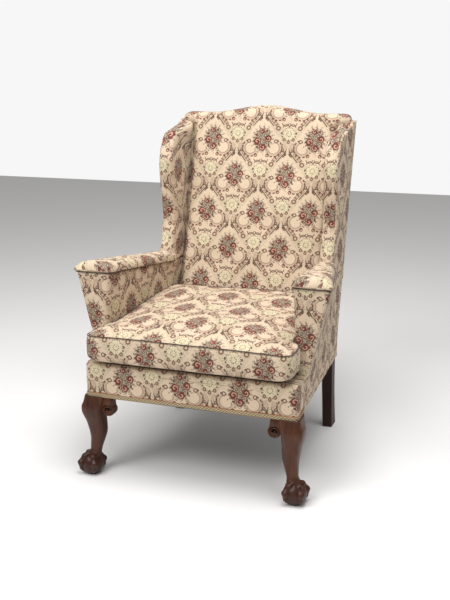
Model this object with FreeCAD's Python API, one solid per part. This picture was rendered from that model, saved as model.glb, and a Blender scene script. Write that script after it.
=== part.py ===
import FreeCAD, Part
import math
import os

from FreeCAD import Vector

# Wing armchair on carved cabriole legs, with a loose T-shaped seat cushion.
# Millimetres. Z is up, the sitter faces -Y, and left and right are as seen from the front.
# Y is drawn from the front face of the seat, and save() moves the whole chair so that the
# origin lies on the floor under the middle of its bounding box.

# Main sizes over the upholstery
leg_height = 244.0            # floor to the lower edge of the cover
seat_front_width = 642.0
seat_back_width = 578.0
seat_depth = 600.0            # front face to the outside back, at the seat
front_bow = 8.0               # how far the front rail bows forward
corner_round = 20.0           # front corners of the seat, in plan
deck_height = 356.0           # top of the seat deck, which carries the cushion
crest_height = 1050.0         # floor to the middle of the crest
crest_rise = 24.0             # hump of the crest above its ends
crest_hump = 190.0            # half width of that hump
crest_shoulder = 262.0        # where the crest starts to fall over the wing
crest_drop = 13.0
crest_round = 13.0            # depth of the round at the rear of the crest
crest_rail_rise = 40.0
back_rake = 13.0              # degrees, outside back
rake_start = 330.0            # height where the back begins to lean
inside_rake = 16.5            # degrees, face of the inside back
inside_base = 478.0           # front of the inside back at deck height
side_lean = 0.83              # degrees that the sides open upwards
cover = 5.0                   # cloth with its wadding on the outside panels
cloth = 1.5                   # thin linings and webbing

# Seat frame
rail_height = 75.0
rail_thickness = 28.0
stile = 56.0                  # square block at the top of a front leg
tenon_length = 24.0
tenon_thickness = 10.0
tenon_shoulder = 12.0         # wood left above and below a tenon
post_width = 35.0
post_depth = 39.0
foot_depth = 54.0             # rear leg at the floor
foot_width = 31.0
foot_sweep = 26.0             # how far the rear foot kicks back

# Cabriole leg, measured from the axis of its stile along the diagonal
knee_height = 205.0
knee_half = 33.0
knee_throw = 17.0
shin_height = 125.0
shin_half = 23.5
shin_throw = 9.0
ankle_height = 73.0
ankle_half = 16.5
ankle_throw = 16.0
ball_radius = 34.0
ball_throw = 26.0
claw_radius = 8.5
claw_reach = 8.0              # how far a claw stands off the ball
ear_thickness = 24.0
volute_radius = 19.0
volute_quarters = 5           # quarter turns of the carved scroll
volute_bead = 2.6

# Arms
arm_front = 98.0              # front of the arm's wood
arm_height = 597.0            # seam under the arm pad, at the front
arm_slope = 0.105             # fall of the arm towards the back
arm_flare = 68.0              # how far the arm leans out at the front
flare_start = 310.0
arm_inside_front = 276.0      # half the room between the arms
arm_inside_back = 244.0
arm_undercut = 14.0           # the inside of the arm is this much wider at the deck
arm_padding = 16.0
facing_thickness = 12.0
arm_crown = 28.0
arm_end = 500.0               # where the arm meets the wing
arm_overhang = 3.0
board_thickness = 20.0
arm_post_depth = 42.0

# Wings
wing_front = 498.0            # foremost point of the lobe
wing_waist = 511.0
wing_waist_height = 700.0
wing_lobe_height = 862.0
wing_shoulder = 545.0
wing_shoulder_height = 961.0
wing_top_height = 984.0
wing_top = 615.0
wing_foot = 458.0             # where the wing rises from the arm
wing_hollow = 493.0
wing_hollow_height = 628.0
wing_rear_height = 1014.0     # top of the wing where it meets the crest
wing_post_inset = 12.0
wing_rail_drop = 56.0
wing_inside = 245.0
wing_post_width = 22.0
wing_post_depth = 30.0
wing_round = 16.0
wing_rings = 7
back_half = 236.0             # half the width of the inside back
back_crown = 14.0             # the inside back is this much fuller in its middle
back_nose = 22.0              # height of the round top edge

# Loose cushion
cushion_gap = 0.4             # clear of the deck
cushion_front = -26.0
cushion_back = 468.0
cushion_ear_half = 305.0
cushion_ear_back = 76.0
cushion_side_gap = 5.0        # clear of the inside of each arm
cushion_border = 78.0         # height of its boxing
cushion_crown = 44.0
cushion_corner = 26.0

# Inner rails of the back and arms
stay_low = 396.0
stay_high = 441.0
stay_thickness = 22.0
tacking_height = 28.0
tacking_thickness = 14.0
border_round = 9.0            # soft upper edge of the front border
roll_depth = 62.0             # stuffed roll along the front of the deck

# Springs and webbing
spring_rows = 3
spring_wire = 3.6
spring_end = 38.0             # coil radius at both ends
spring_waist = 24.0
spring_turns = 3.5
spring_inset = 22.0           # outer springs to the side posts
spring_margin = 118.0         # first and last row to the front and the back
strap_width = 50.0
strap_count = 5
back_strap_count = 6
tack_head = 3.0
tack_shank = 0.9
tack_length = 11.0
screw_radius = 2.2
screw_head = 4.6
screw_bite = 18.0             # how far a screw enters its rail
dowel_radius = 4.0
dowel_half = 20.0
block_height = 50.0
block_reach = 55.0            # how far a corner block runs along its rails
braid_height = 14.0
braid_thickness = 2.0

# How finely the rounded forms are cut
corner_chords = 3
cushion_chords = 2
crown_chords = 4
nose_chords = 3
ball_sides = 12
claw_sides = 6
bead_sides = 4
coil_chords = 8
wire_sides = 4
ball_flat = 4.5               # worn off the ball where it stands

# Worked out once
front_half = seat_front_width / 2
rail_bottom = leg_height + 3 * cloth
rail_top = rail_bottom + rail_height
hessian_top = rail_top + cloth
stile_out = front_half - cover
stile_in = stile_out - stile
post_out = seat_back_width / 2 - cover
post_in = post_out - post_width
post_front = seat_depth - cover - post_depth  # front face of the rear posts at the seat
pad_rear = cover + post_depth + 2 * cloth     # back of the inside back's padding
deck_inset = cover + arm_padding              # the deck stops short of the side covers
crest_seat = crest_height - crest_rise - 62   # where the crest rail sits on the posts
rake_slope = math.tan(math.radians(back_rake))
inside_slope = math.tan(math.radians(inside_rake))
lean_slope = math.tan(math.radians(side_lean))
foot_front = stile / 2 + cover - ball_throw - ball_radius - claw_reach + claw_radius / 4
chair_middle = (seat_depth + (crest_height - rake_start) * rake_slope + foot_front) / 2


def side_half(y):
    """Half width over the cover at the rails, tapering to the back."""
    return front_half + (seat_back_width - seat_front_width) / 2 * y / seat_depth


def back_y(z):
    """Outside face of the back."""
    return seat_depth + max(0.0, z - rake_start) * rake_slope


def inside_y(z):
    """Front of the inside back."""
    return inside_base + (z - deck_height) * inside_slope


def arm_z(y):
    """Height of the seam under the arm pad."""
    return arm_height - (y - arm_front) * arm_slope


def arm_share(y):
    """1 at the front of the arm, 0 at the wing."""
    return max(0.0, (arm_end - y) / (arm_end - arm_front))


def arm_outside(y, z):
    """Outer half width of the arm, which flares out towards its front."""
    rise = max(0.0, (z - flare_start) / (arm_height - flare_start))
    lean = (1 - arm_share(y)) * lean_slope * (z - leg_height)
    return side_half(y) + arm_share(y) * arm_flare * rise + lean


def arm_inside(y, z):
    """Inner half width of the arm, a little wider at the deck than at the top."""
    top = arm_inside_back + arm_share(y) * (arm_inside_front - arm_inside_back)
    return top + arm_undercut * (arm_z(y) - z) / (arm_z(y) - deck_height)


def block(x0, x1, y0, y1, z0, z1):
    return Part.makeBox(x1 - x0, y1 - y0, z1 - z0, Vector(x0, y0, z0))


def polygon(points):
    return Part.makePolygon([Vector(*p) for p in points] + [Vector(*points[0])])


def prism(points, run):
    """A flat outline carried straight along a vector."""
    return Part.Face(polygon(points)).extrude(Vector(*run))


def outline_prism(edges, run):
    return Part.Face(Part.Wire(edges)).extrude(Vector(*run))


def line(a, b):
    return Part.LineSegment(Vector(*a), Vector(*b)).toShape()


def arc(a, b, c):
    return Part.Arc(Vector(*a), Vector(*b), Vector(*c)).toShape()


def loft(wires):
    return Part.makeLoft(wires, True, True)


def panel(points):
    return Part.Face(Part.makePolygon(points + [points[0]]))


def skin(wires):
    """Closed shell of flat panels over rings with equal numbers of corners."""
    rings = [[v.Point for v in wire.OrderedVertexes] for wire in wires]
    panels = [panel(rings[0]), panel(rings[-1])]
    for a, b in zip(rings, rings[1:]):
        for i in range(len(a)):
            j = (i + 1) % len(a)
            slope = (a[j] - a[i]).cross(b[i] - a[i])
            if slope.Length < 1e-6 or abs(slope.normalize().dot(b[j] - a[i])) > 1e-6:
                panels += [panel([a[i], a[j], b[j]]), panel([a[i], b[j], b[i]])]
            else:
                panels.append(panel([a[i], a[j], b[j], b[i]]))
    shell = Part.makeShell(panels)
    shell.sewShape()
    body = Part.Solid(shell)
    if body.Volume < 0:
        body.reverse()
    return body


def mirrored(shape):
    return shape.mirror(Vector(0, 0, 0), Vector(1, 0, 0))


def joined(shapes):
    whole = shapes[0].fuse(shapes[1:])
    return whole.removeSplitter()


def rod(start, end, radius, upright=(0, 1, 0)):
    """Fluted dowel or plain shank."""
    way = Vector(*end) - Vector(*start)
    return Part.Face(many_sided(Vector(*start), radius, way, Vector(*upright))).extrude(way)


def save(name, shape):
    placed = shape.copy()
    placed.translate(Vector(0, -chair_middle, 0))
    placed.exportStep("parts/" + name + ".step")


def save_pair(name, right):
    save(name + "_right", right)
    save(name + "_left", mirrored(right))


def arch(start, end, steps, upright=True):
    """Points of a quarter ellipse between two y, z pairs, upright at its start or at its end."""
    spots = []
    for step in range(1, steps):
        turn = step / steps * math.pi / 2
        rise, run = (math.sin(turn), 1 - math.cos(turn)) if upright else (1 - math.cos(turn), math.sin(turn))
        spots.append((start[0] + (end[0] - start[0]) * run, start[1] + (end[1] - start[1]) * rise))
    return [start] + spots + [end]


def rounded_square(x, y, z, half, radius):
    """Level square with round corners, centred on x, y."""
    flat = half - radius
    points = []
    for turn in range(4):
        for step in range(corner_chords + 1):
            angle = (turn + step / corner_chords) * math.pi / 2
            side_x = flat if turn in (0, 3) else -flat
            side_y = flat if turn in (0, 1) else -flat
            points.append((x + side_x + radius * math.cos(angle), y + side_y + radius * math.sin(angle), z))
    return polygon(points)


def many_sided(centre, radius, normal, upright, sides=8):
    """A ring of flats, as a carver's gouge leaves it."""
    across = normal.cross(upright).normalize()
    up = Vector(normal).normalize().cross(across)
    spots = []
    for side in range(sides):
        angle = 2 * math.pi * side / sides
        spots.append(centre + across * (radius * math.cos(angle)) + up * (radius * math.sin(angle)))
    return Part.makePolygon(spots + [spots[0]])


def tube(points, radius, upright, sides):
    """A wire of flats along a run of points."""
    rings = []
    for i, point in enumerate(points):
        way = points[min(i + 1, len(points) - 1)] - points[max(i - 1, 0)]
        rings.append(many_sided(point, radius, way, upright, sides))
    return skin(rings)


def claw(centre, heading):
    """One toe: a tapering run of knuckles that hugs the ball from the ankle to the floor."""
    reach = ball_radius + claw_reach - claw_radius / 2
    joints = ((66, 0.9), (46, 1.0), (32, 0.76), (14, 1.02), (-6, 0.74), (-24, 0.92), (-50, 0.45))
    beside = Vector(-math.sin(heading), math.cos(heading), 0)
    rings = []
    for lift, share in joints:
        up = math.radians(lift)
        out = Vector(math.cos(heading) * math.cos(up), math.sin(heading) * math.cos(up), math.sin(up))
        along = Vector(math.cos(heading) * math.sin(up), math.sin(heading) * math.sin(up), -math.cos(up))
        rings.append(many_sided(centre + out * reach, claw_radius * share, along, beside, claw_sides))
    return skin(rings)


def ball(centre):
    """The ball under the claws, in flats."""
    rings = []
    for lift in (-64, -40, -14, 14, 40, 64):
        up = math.radians(lift)
        spot = centre + Vector(0, 0, ball_radius * math.sin(up))
        wide = ball_radius * math.cos(up)
        rings.append(many_sided(spot, wide, Vector(0, 0, 1), Vector(1, 0, 0), ball_sides))
    return skin(rings)


def front_leg():
    """Right front leg: stile, knee, shin and ankle in one loft, with a ball-and-claw foot."""
    axis_x = stile_out - stile / 2
    axis_y = cover + stile / 2
    half_stile = stile / 2
    top = leg_height
    levels = (
        (top, half_stile + 3, 8.0, 7.0),
        (knee_height + 22, knee_half - 1, knee_throw - 5, 13.0),
        (knee_height + 8, knee_half, knee_throw - 1, 16.0),
        (knee_height - 8, knee_half - 1, knee_throw, 17.0),
        (knee_height - 24, knee_half - 3, knee_throw - 2, 17.0),
        ((knee_height + shin_height) / 2, 27.5, 12.5, 17.0),
        (shin_height + 18, shin_half + 2, shin_throw + 1, 16.0),
        (shin_height, shin_half, shin_throw, 15.0),
        ((shin_height + ankle_height) / 2 + 8, 20.5, 10.5, 14.0),
        (ankle_height + 12, ankle_half + 1, ankle_throw - 2, 12.5),
        (ankle_height, ankle_half, ankle_throw, 12.0),
        (ankle_height - 16, ankle_half + 4, ball_throw - 4, 14.0),
    )
    rings = [rounded_square(axis_x + t, axis_y - t, z, h, r) for z, h, t, r in levels]
    stalk = skin(rings)
    head = block(stile_in, stile_out, cover, cover + stile, top, rail_top)
    head = head.common(seat_plan(-cover, top, rail_top))
    centre = Vector(axis_x + ball_throw, axis_y - ball_throw, ball_radius - ball_flat)
    toes = [claw(centre, math.radians(-45 + spread)) for spread in (0, 82, -82, 180)]
    whole = joined([stalk, head, ball(centre)] + toes)
    return whole.cut(block(axis_x - 90, axis_x + 130, axis_y - 130, axis_y + 90, -60, 0))


def scroll_bead(x, z, y):
    """Carved scroll: a bead that winds inwards at an even pitch."""
    points = []
    steps = volute_quarters * 3
    for step in range(steps + 1):
        share = step / steps
        radius = (volute_radius - 1.3 * volute_bead) * (1 - 0.8 * share)
        angle = math.pi / 2 * (1 + volute_quarters * share)
        points.append(Vector(x + radius * math.cos(angle), y, z + radius * math.sin(angle)))
    return tube(points, volute_bead, Vector(0, 1, 0), bead_sides)


def knee_ear():
    """Right front ear: a bracket under the rail that ends in a volute, beside the knee."""
    inner = stile_in - 12
    outer = stile_in
    front = cover
    top = leg_height
    middle = knee_height
    points = [
        (outer, front, top), (outer, front, middle), (outer - volute_radius * 0.75, front, middle + 4),
        (outer - volute_radius * 1.1, front, middle + 14),
        (inner - 14, front, top - 10), (inner - 14, front, top),
    ]
    bracket = prism(points, (0, ear_thickness, 0))
    heart = Vector(stile_in - 2, front, middle)
    rim = many_sided(heart, volute_radius, Vector(0, 1, 0), Vector(0, 0, 1), ball_sides)
    disc = Part.Face(rim).extrude(Vector(0, ear_thickness, 0))
    return joined([bracket, disc, scroll_bead(heart.x, heart.z, front)])


def tenon(x0, x1, y0, y1):
    return block(x0, x1, y0, y1, rail_bottom + tenon_shoulder, rail_top - tenon_shoulder)


def front_rail():
    half = stile_in
    bow = front_bow * (half / front_half) ** 2
    y = cover
    z = rail_bottom - cloth
    edges = [
        arc((-half, y, z), (0, y - bow, z), (half, y, z)),
        line((half, y, z), (half, y + rail_thickness, z)),
        line((half, y + rail_thickness, z), (-half, y + rail_thickness, z)),
        line((-half, y + rail_thickness, z), (-half, y, z)),
    ]
    body = outline_prism(edges, (0, 0, rail_height + cloth))
    middle = y + rail_thickness / 2
    pegs = [tenon(half, half + tenon_length, middle - tenon_thickness / 2, middle + tenon_thickness / 2)]
    pegs.append(mirrored(pegs[0]))
    return joined([body] + pegs)


def side_rail():
    """Right side rail, cut square across Y at both ends, with a tenon at each."""
    y0 = cover + stile
    y1 = post_front

    def strip(a, b, outer, inner, z0, z1):
        return prism([
            (side_half(a) - cover - outer, a, z0),
            (side_half(b) - cover - outer, b, z0),
            (side_half(b) - cover - inner, b, z0),
            (side_half(a) - cover - inner, a, z0),
        ], (0, 0, z1 - z0))

    body = strip(y0, y1, 0, rail_thickness, rail_bottom, rail_top)
    near = (rail_thickness - tenon_thickness) / 2
    low = rail_bottom + tenon_shoulder
    high = rail_top - tenon_shoulder
    ends = [
        strip(y0 - tenon_length, y0, near, near + tenon_thickness, low, high),
        strip(y1, y1 + tenon_length, near, near + tenon_thickness, low, high),
    ]
    return joined([body] + ends)


def back_rail():
    y0 = post_front + (post_depth - rail_thickness) / 2
    body = block(-post_in, post_in, y0, y0 + rail_thickness, rail_bottom - cloth, rail_top)
    middle = y0 + rail_thickness / 2 + 2
    peg = tenon(post_in, post_in + tenon_thickness, middle - 5, middle + 5)
    return joined([body, peg, mirrored(peg)])


def level_rectangle(x0, x1, y0, y1, z):
    return polygon([(x0, y0, z), (x1, y0, z), (x1, y1, z), (x0, y1, z)])


def rear_post():
    """Right rear leg and back upright in one length, kicked back at the foot and raked above the seat."""
    rear = seat_depth - cover
    steps = 6
    rings = []
    for step in range(steps + 1):
        share = 1 - step / steps
        z = step / steps * (rail_bottom - 20)
        sweep = foot_sweep * share ** 2.2
        depth = post_depth + (foot_depth - post_depth) * share ** 3
        width = foot_width + (post_width - foot_width) * (1 - share)
        rings.append(level_rectangle(post_out - width, post_out, rear + sweep - depth, rear + sweep, z))
    for z in (rake_start, crest_height):
        rear = back_y(z) - cover
        rings.append(level_rectangle(post_in, post_out, rear - post_depth, rear, z))
    return loft(rings)


def leaned(shape, z):
    """Leans a shape drawn upright on the outside of the back to the rake of the back."""
    turned = shape.copy()
    turned.rotate(Vector(0, back_y(z), z), Vector(1, 0, 0), -back_rake)
    return turned


def crest_rail():
    """Crest rail with its serpentine top edge, drawn upright and leaned."""
    y = back_y(crest_seat) - cover
    z0 = crest_seat
    z1 = crest_seat + crest_rail_rise
    z2 = z1 + crest_rise
    half = crest_hump
    edges = [
        line((-post_out, y, z0), (post_out, y, z0)),
        line((post_out, y, z0), (post_out, y, z1)),
        line((post_out, y, z1), (half, y, z1)),
        arc((half, y, z1), (half * 0.72, y, z1 + crest_rise * 0.22), (half * 0.5, y, z1 + crest_rise * 0.66)),
        arc((half * 0.5, y, z1 + crest_rise * 0.66), (0, y, z2), (-half * 0.5, y, z1 + crest_rise * 0.66)),
        arc((-half * 0.5, y, z1 + crest_rise * 0.66), (-half * 0.72, y, z1 + crest_rise * 0.22),
            (-half, y, z1)),
        line((-half, y, z1), (-post_out, y, z1)),
        line((-post_out, y, z1), (-post_out, y, z0)),
    ]
    return leaned(outline_prism(edges, (0, -rail_thickness, 0)), crest_seat)


def above_crest_seat():
    y = back_y(crest_seat)
    return leaned(block(-400, 400, y - 150, y + 150, crest_seat, crest_seat + 200), crest_seat)


def cross_rail(low, high, thickness):
    """A rail between the back posts, with its faces along the rake."""
    near = post_depth - thickness - 4
    points = [
        (-post_in, back_y(low) - cover - thickness - near, low),
        (-post_in, back_y(low) - cover - near, low),
        (-post_in, back_y(high) - cover - near, high),
        (-post_in, back_y(high) - cover - thickness - near, high),
    ]
    return prism(points, (2 * post_in, 0, 0))


def arm_strip(ys, corners):
    """Ruled piece along the arm. corners(y) gives its outline across the arm as x, z pairs."""
    return loft([polygon([(x, y, z) for x, z in corners(y)]) for y in ys])


def arm_post():
    """Front stump of the arm, leaning out from the side rail to the arm board."""
    z0 = rail_top

    def corners(y):
        top = arm_z(y) - board_thickness
        return [
            (arm_inside(y, deck_height) + arm_padding / 2, z0),
            (arm_outside(y, z0) - cover, z0),
            (arm_outside(y, top) - cover, top),
            (arm_inside(y, top) + arm_padding, top),
        ]
    return arm_strip((arm_front, arm_front + arm_post_depth), corners)


def arm_board():
    def corners(y):
        top = arm_z(y)
        low = top - board_thickness
        return [
            (arm_inside(y, low) + arm_padding, low),
            (arm_outside(y, low) - cover, low),
            (arm_outside(y, top) - cover, top),
            (arm_inside(y, top) + arm_padding, top),
        ]
    return arm_strip((arm_front, arm_end, arm_end + wing_post_depth), corners)


def inside_arm_pad():
    def corners(y):
        top = arm_z(y)
        return [
            (arm_inside(y, deck_height), deck_height),
            (arm_inside(y, deck_height) + arm_padding / 2, deck_height),
            (arm_inside(y, top) + arm_padding, top),
            (arm_inside(y, top), top),
        ]
    return arm_strip((arm_front, arm_end), corners)


def outside_arm_cover():
    """Cloth panel from the rail to the arm seam, ruled from the flared front to the straight back."""
    def corners(y):
        top = arm_z(min(y, arm_end))
        low = leg_height
        return [
            (side_half(y) - cover, low),
            (side_half(y), low),
            (arm_outside(y, flare_start), flare_start),
            (arm_outside(y, top), top),
            (arm_outside(y, top) - cover, top),
            (arm_outside(y, flare_start) - cover, flare_start),
        ]
    panel = arm_strip((arm_front, arm_end, seat_depth + 90), corners)
    return panel.cut(behind_back())


def behind_back():
    """Everything behind the inner face of the outside back cover."""
    reach = 400.0
    high = crest_height + 100
    points = [
        (-reach, back_y(0) - cover, -10),
        (-reach, back_y(rake_start) - cover, rake_start),
        (-reach, back_y(high) - cover, high),
        (-reach, back_y(high) + 300, high),
        (-reach, back_y(high) + 300, -10),
    ]
    return prism(points, (2 * reach, 0, 0))


def arm_facing():
    """Upholstered front of the arm, narrow at the seat and wide at the top, with a soft edge."""
    y = arm_front
    z0 = hessian_top
    points = [
        (arm_inside(y, deck_height), y, z0),
        (arm_outside(y, z0), y, z0),
        (arm_outside(y, arm_height), y, arm_height),
        (arm_inside(y, arm_height), y, arm_height),
    ]
    body = prism(points, (0, -facing_thickness, 0))
    front = [e for e in body.Edges if abs(e.BoundBox.YMin - e.BoundBox.YMax) < 0.01
             and e.BoundBox.YMin < y - facing_thickness / 2 and e.BoundBox.ZMin > z0 - 1
             and e.BoundBox.ZLength > 50]
    return body.makeFillet(facing_thickness * 0.7, front)


def arm_top_pad():
    """Crowned pad on the arm, with a round front, falling and narrowing to the wing."""
    def ring(y, share):
        z = arm_z(y)
        x0 = arm_inside(y, z) - arm_overhang
        x1 = arm_outside(y, z) + arm_overhang
        middle = (x0 + x1) / 2
        half = (x1 - x0) / 2 * (0.72 + 0.28 * share)
        rise = arm_crown * (0.25 + 0.75 * share)
        side = arch((middle + half, z), (middle, z + rise), crown_chords)
        points = side + [(2 * middle - x, height) for x, height in side[-2::-1]]
        return polygon([(x, y, height) for x, height in points])
    nose = arm_front - facing_thickness - 3
    stations = [(nose, 0.0), (nose + 5, 0.6), (nose + 18, 1.0), ((nose + arm_end) / 2, 1.0), (arm_end, 1.0)]
    return skin([ring(y, share) for y, share in stations])


def wing_curve(inset=0.0):
    """Front of the wing in side view: hollow above the arm, full lobe, round shoulder."""
    curve = Part.BSplineCurve()
    curve.interpolate([
        Vector(0, wing_foot + inset, arm_z(arm_end)),
        Vector(0, wing_hollow + inset, wing_hollow_height),
        Vector(0, wing_waist + inset, wing_waist_height),
        Vector(0, wing_front + inset, wing_lobe_height),
        Vector(0, wing_shoulder + inset * 0.8, wing_shoulder_height - inset * 0.6),
        Vector(0, wing_top + inset * 0.3, wing_top_height - inset),
    ])
    return curve


def wing_run(inset=0.0):
    """Points along the front of the wing, as y, z pairs."""
    curve = wing_curve(inset)
    spots = [curve.value(curve.LastParameter * step / (wing_rings - 1)) for step in range(wing_rings)]
    return [(p.y, p.z) for p in spots]


def wing_outline(x, rear):
    """Whole side view of the wing. rear(z) gives its back edge."""
    low = arm_z(arm_end)
    points = wing_run() + [(rear(wing_rear_height), wing_rear_height), (rear(low), low)]
    return [(x, y, z) for y, z in points]


def tilted(shape):
    """Opens a side piece outwards by the lean of the sides."""
    turned = shape.copy()
    turned.rotate(Vector(seat_back_width / 2, 0, leg_height), Vector(0, 1, 0), side_lean)
    return turned


def outside_wing_cover():
    def rear(z):
        return back_y(z) - cover
    return tilted(prism(wing_outline(seat_back_width / 2, rear), (-cover, 0, 0)))


def wing_post():
    """Front upright of the wing, standing on the arm board and following the front curve."""
    x1 = seat_back_width / 2 - cover
    outer = wing_run(wing_post_inset)
    inner = wing_run(wing_post_inset + wing_post_depth)
    points = [(x1, y, z) for y, z in outer + inner[::-1]]
    return tilted(prism(points, (-wing_post_width, 0, 0)))


def wing_rail():
    """Top rail of the wing, from its front upright back to the post."""
    x1 = seat_back_width / 2 - cover
    y0 = wing_shoulder + wing_post_inset
    z0 = wing_top_height - wing_rail_drop
    z1 = wing_top_height - wing_post_inset
    y1 = back_y(z0) - cover - post_depth / 2
    points = [(x1, y0, z0), (x1, y1, z0 + 6), (x1, y1 + 8, z1 + 10), (x1, y0 + wing_post_depth, z1)]
    return tilted(prism(points, (-wing_post_width, 0, 0)))


def wing_pad():
    """Padding of the wing: level rings with a round nose that follow the front curve."""
    x0 = wing_inside
    x1 = seat_back_width / 2 - cover
    middle = (x0 + x1) / 2

    def ring(y, z):
        rear = max(back_y(z) - cover - post_depth, y + wing_round + 4)
        side = arch((x0, y + wing_round), (middle, y), nose_chords)
        nose = side + [(2 * middle - x, depth) for x, depth in side[-2::-1]]
        return polygon([(x, depth, z) for x, depth in [(x0, rear)] + nose + [(x1, rear)]])
    rings = [ring(y, z) for y, z in wing_run()]
    last = back_y(wing_rear_height) - cover - post_depth - wing_round - 6
    rings.append(ring(last, wing_rear_height))
    return tilted(skin(rings))


def crest_z(x):
    """Height of the serpentine crest at x, falling away over the wings."""
    swell = max(0.0, 1 - abs(x) / crest_hump)
    fall = max(0.0, abs(x) - crest_shoulder) / (post_out - crest_shoulder)
    return crest_height - crest_rise * (1 - 3 * swell ** 2 + 2 * swell ** 3) - crest_drop * fall ** 2


def crest_stations(half):
    """Places across the chair where the crest's rings stand."""
    right = [crest_hump * step / 5 for step in range(6)] + [crest_shoulder]
    right = [x for x in right if x < half] + [half]
    return [-x for x in right[:0:-1]] + right


def inside_back_pad():
    """Inside back: upright rings across the chair, crowned, with a round top edge along the crest."""
    def ring(x):
        z0 = deck_height
        z1 = crest_z(x)
        low = z1 - back_nose
        hollow = back_crown * (x / back_half) ** 2
        top = arch((inside_y(low) + hollow, low), (back_y(z1) - pad_rear, z1), nose_chords)
        points = [(back_y(z0) - pad_rear, z0), (inside_y(z0) + hollow, z0)] + top
        return polygon([(x, y, z) for y, z in points])
    return skin([ring(x) for x in crest_stations(back_half)])


def crest_pad():
    """Padding over and behind the crest rail, following the serpentine top."""
    def ring(x):
        z0 = crest_seat
        z1 = crest_z(x)
        low = z1 - crest_round
        points = [(back_y(z0) - cover, z0), (back_y(z0) - pad_rear, z0)]
        points += arch((back_y(z1) - pad_rear, z1), (back_y(low) - cover, low), nose_chords, False)
        return polygon([(x, y, z) for y, z in points])
    half = post_out + (crest_seat - leg_height) * lean_slope
    return skin([ring(x) for x in crest_stations(half)])


def back_sheet(low, high, half, near):
    """Flat strip across the back, one cloth thick, near + its thickness in front of the outside."""
    points = [
        (-half, back_y(low) - near - cloth, low),
        (-half, back_y(low) - near, low),
        (-half, back_y(high) - near, high),
        (-half, back_y(high) - near - cloth, high),
    ]
    return prism(points, (2 * half, 0, 0))


def back_webbing():
    span = (crest_seat - stay_high - strap_width) / (back_strap_count - 1)
    pieces = []
    for i in range(back_strap_count):
        low = stay_high + span * i
        pieces.append(back_sheet(low, low + strap_width, post_out - 8, cover + post_depth))
    return Part.makeCompound(pieces)


def back_hessian():
    return back_sheet(stay_high - strap_width / 2, crest_seat, back_half - 2, cover + post_depth + cloth)


def outside_back_cover():
    """Cloth panel over the whole back, with the serpentine top edge."""
    high = crest_height + 50
    slab = prism([
        (-400, back_y(leg_height) - cover, leg_height),
        (-400, back_y(leg_height), leg_height),
        (-400, back_y(rake_start), rake_start),
        (-400, back_y(high), high),
        (-400, back_y(high) - cover, high),
        (-400, back_y(rake_start) - cover, rake_start),
    ], (800, 0, 0))
    low_half = seat_back_width / 2
    xs = crest_stations(low_half + (crest_height - leg_height) * lean_slope)
    outline = [(-low_half, 0, leg_height), (low_half, 0, leg_height)]
    outline += [(x, 0, crest_z(x) - crest_round) for x in reversed(xs)]
    return slab.common(prism(outline, (0, 1000, 0)))


def seat_plan(grow, z0, z1):
    """The seat in plan, bowed at the front, with round front corners."""
    fh = side_half(0) + grow
    bh = side_half(seat_depth) + grow
    edges = [
        arc((-fh, -grow, z0), (0, -grow - front_bow, z0), (fh, -grow, z0)),
        line((fh, -grow, z0), (bh, seat_depth + grow, z0)),
        line((bh, seat_depth + grow, z0), (-bh, seat_depth + grow, z0)),
        line((-bh, seat_depth + grow, z0), (-fh, -grow, z0)),
    ]
    body = outline_prism(edges, (0, 0, z1 - z0))
    upright = [e for e in body.Edges if e.BoundBox.ZLength > (z1 - z0) * 0.9 and e.BoundBox.YMax < 50]
    return body.makeFillet(corner_round, upright)


def front_rail_cover():
    """Front border: round the front corners to the arms, and over the edge roll."""
    outer = seat_plan(0, leg_height, deck_height)
    edge = [e for e in outer.Edges
            if e.BoundBox.ZMin > deck_height - 0.1 and e.BoundBox.YMin < seat_depth - cover]
    outer = outer.makeChamfer(border_round, edge)
    inner = seat_plan(-cover, leg_height - 1, deck_height - cover)
    front = block(-400, 400, -100, arm_front, leg_height - 2, deck_height + 2)
    return outer.cut(inner).common(front)


def rail_strip(y0, y1, inset, z0, z1):
    """Level sheet between the sides of the seat, inset from the cover."""
    return prism([
        (side_half(y0) - inset, y0, z0), (side_half(y1) - inset, y1, z0),
        (inset - side_half(y1), y1, z0), (inset - side_half(y0), y0, z0),
    ], (0, 0, z1 - z0))


def seat_hessian():
    """Sacking over the springs, tacked to the tops of the rails."""
    return seat_plan(-cover - 1, rail_top, hessian_top).cut(behind_rails())


def behind_rails():
    return block(-400, 400, seat_depth - cover - 4, 900, 0, 400)


def deck_pad():
    return rail_strip(roll_depth, post_front, deck_inset, hessian_top, deck_height - cloth)


def deck_cover():
    return rail_strip(roll_depth, post_front, deck_inset, deck_height - cloth, deck_height)


def dust_cover():
    return seat_plan(-cover - 1, leg_height, leg_height + cloth)


def tacking_rail():
    """Slender rail above the side rail, to which the inside of the arm is tacked."""
    z0 = deck_height + 2
    z1 = z0 + tacking_height

    def corners(y):
        return [
            (arm_inside(y, z0) + arm_padding, z0),
            (arm_inside(y, z0) + arm_padding + tacking_thickness, z0),
            (arm_inside(y, z1) + arm_padding + tacking_thickness, z1),
            (arm_inside(y, z1) + arm_padding, z1),
        ]
    return arm_strip((arm_front + arm_post_depth, post_front + 6), corners)


def corner_block_front():
    """Right front block, notched round the stile."""
    near = cover + rail_thickness
    far = cover + stile

    def inner(y):
        return side_half(y) - cover - rail_thickness
    z = rail_bottom + (rail_height - block_height) / 2
    return prism([
        (stile_in - block_reach, near, z), (stile_in, near, z), (stile_in, far, z),
        (inner(far), far, z), (inner(far + block_reach), far + block_reach, z),
    ], (0, 0, block_height))


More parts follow.
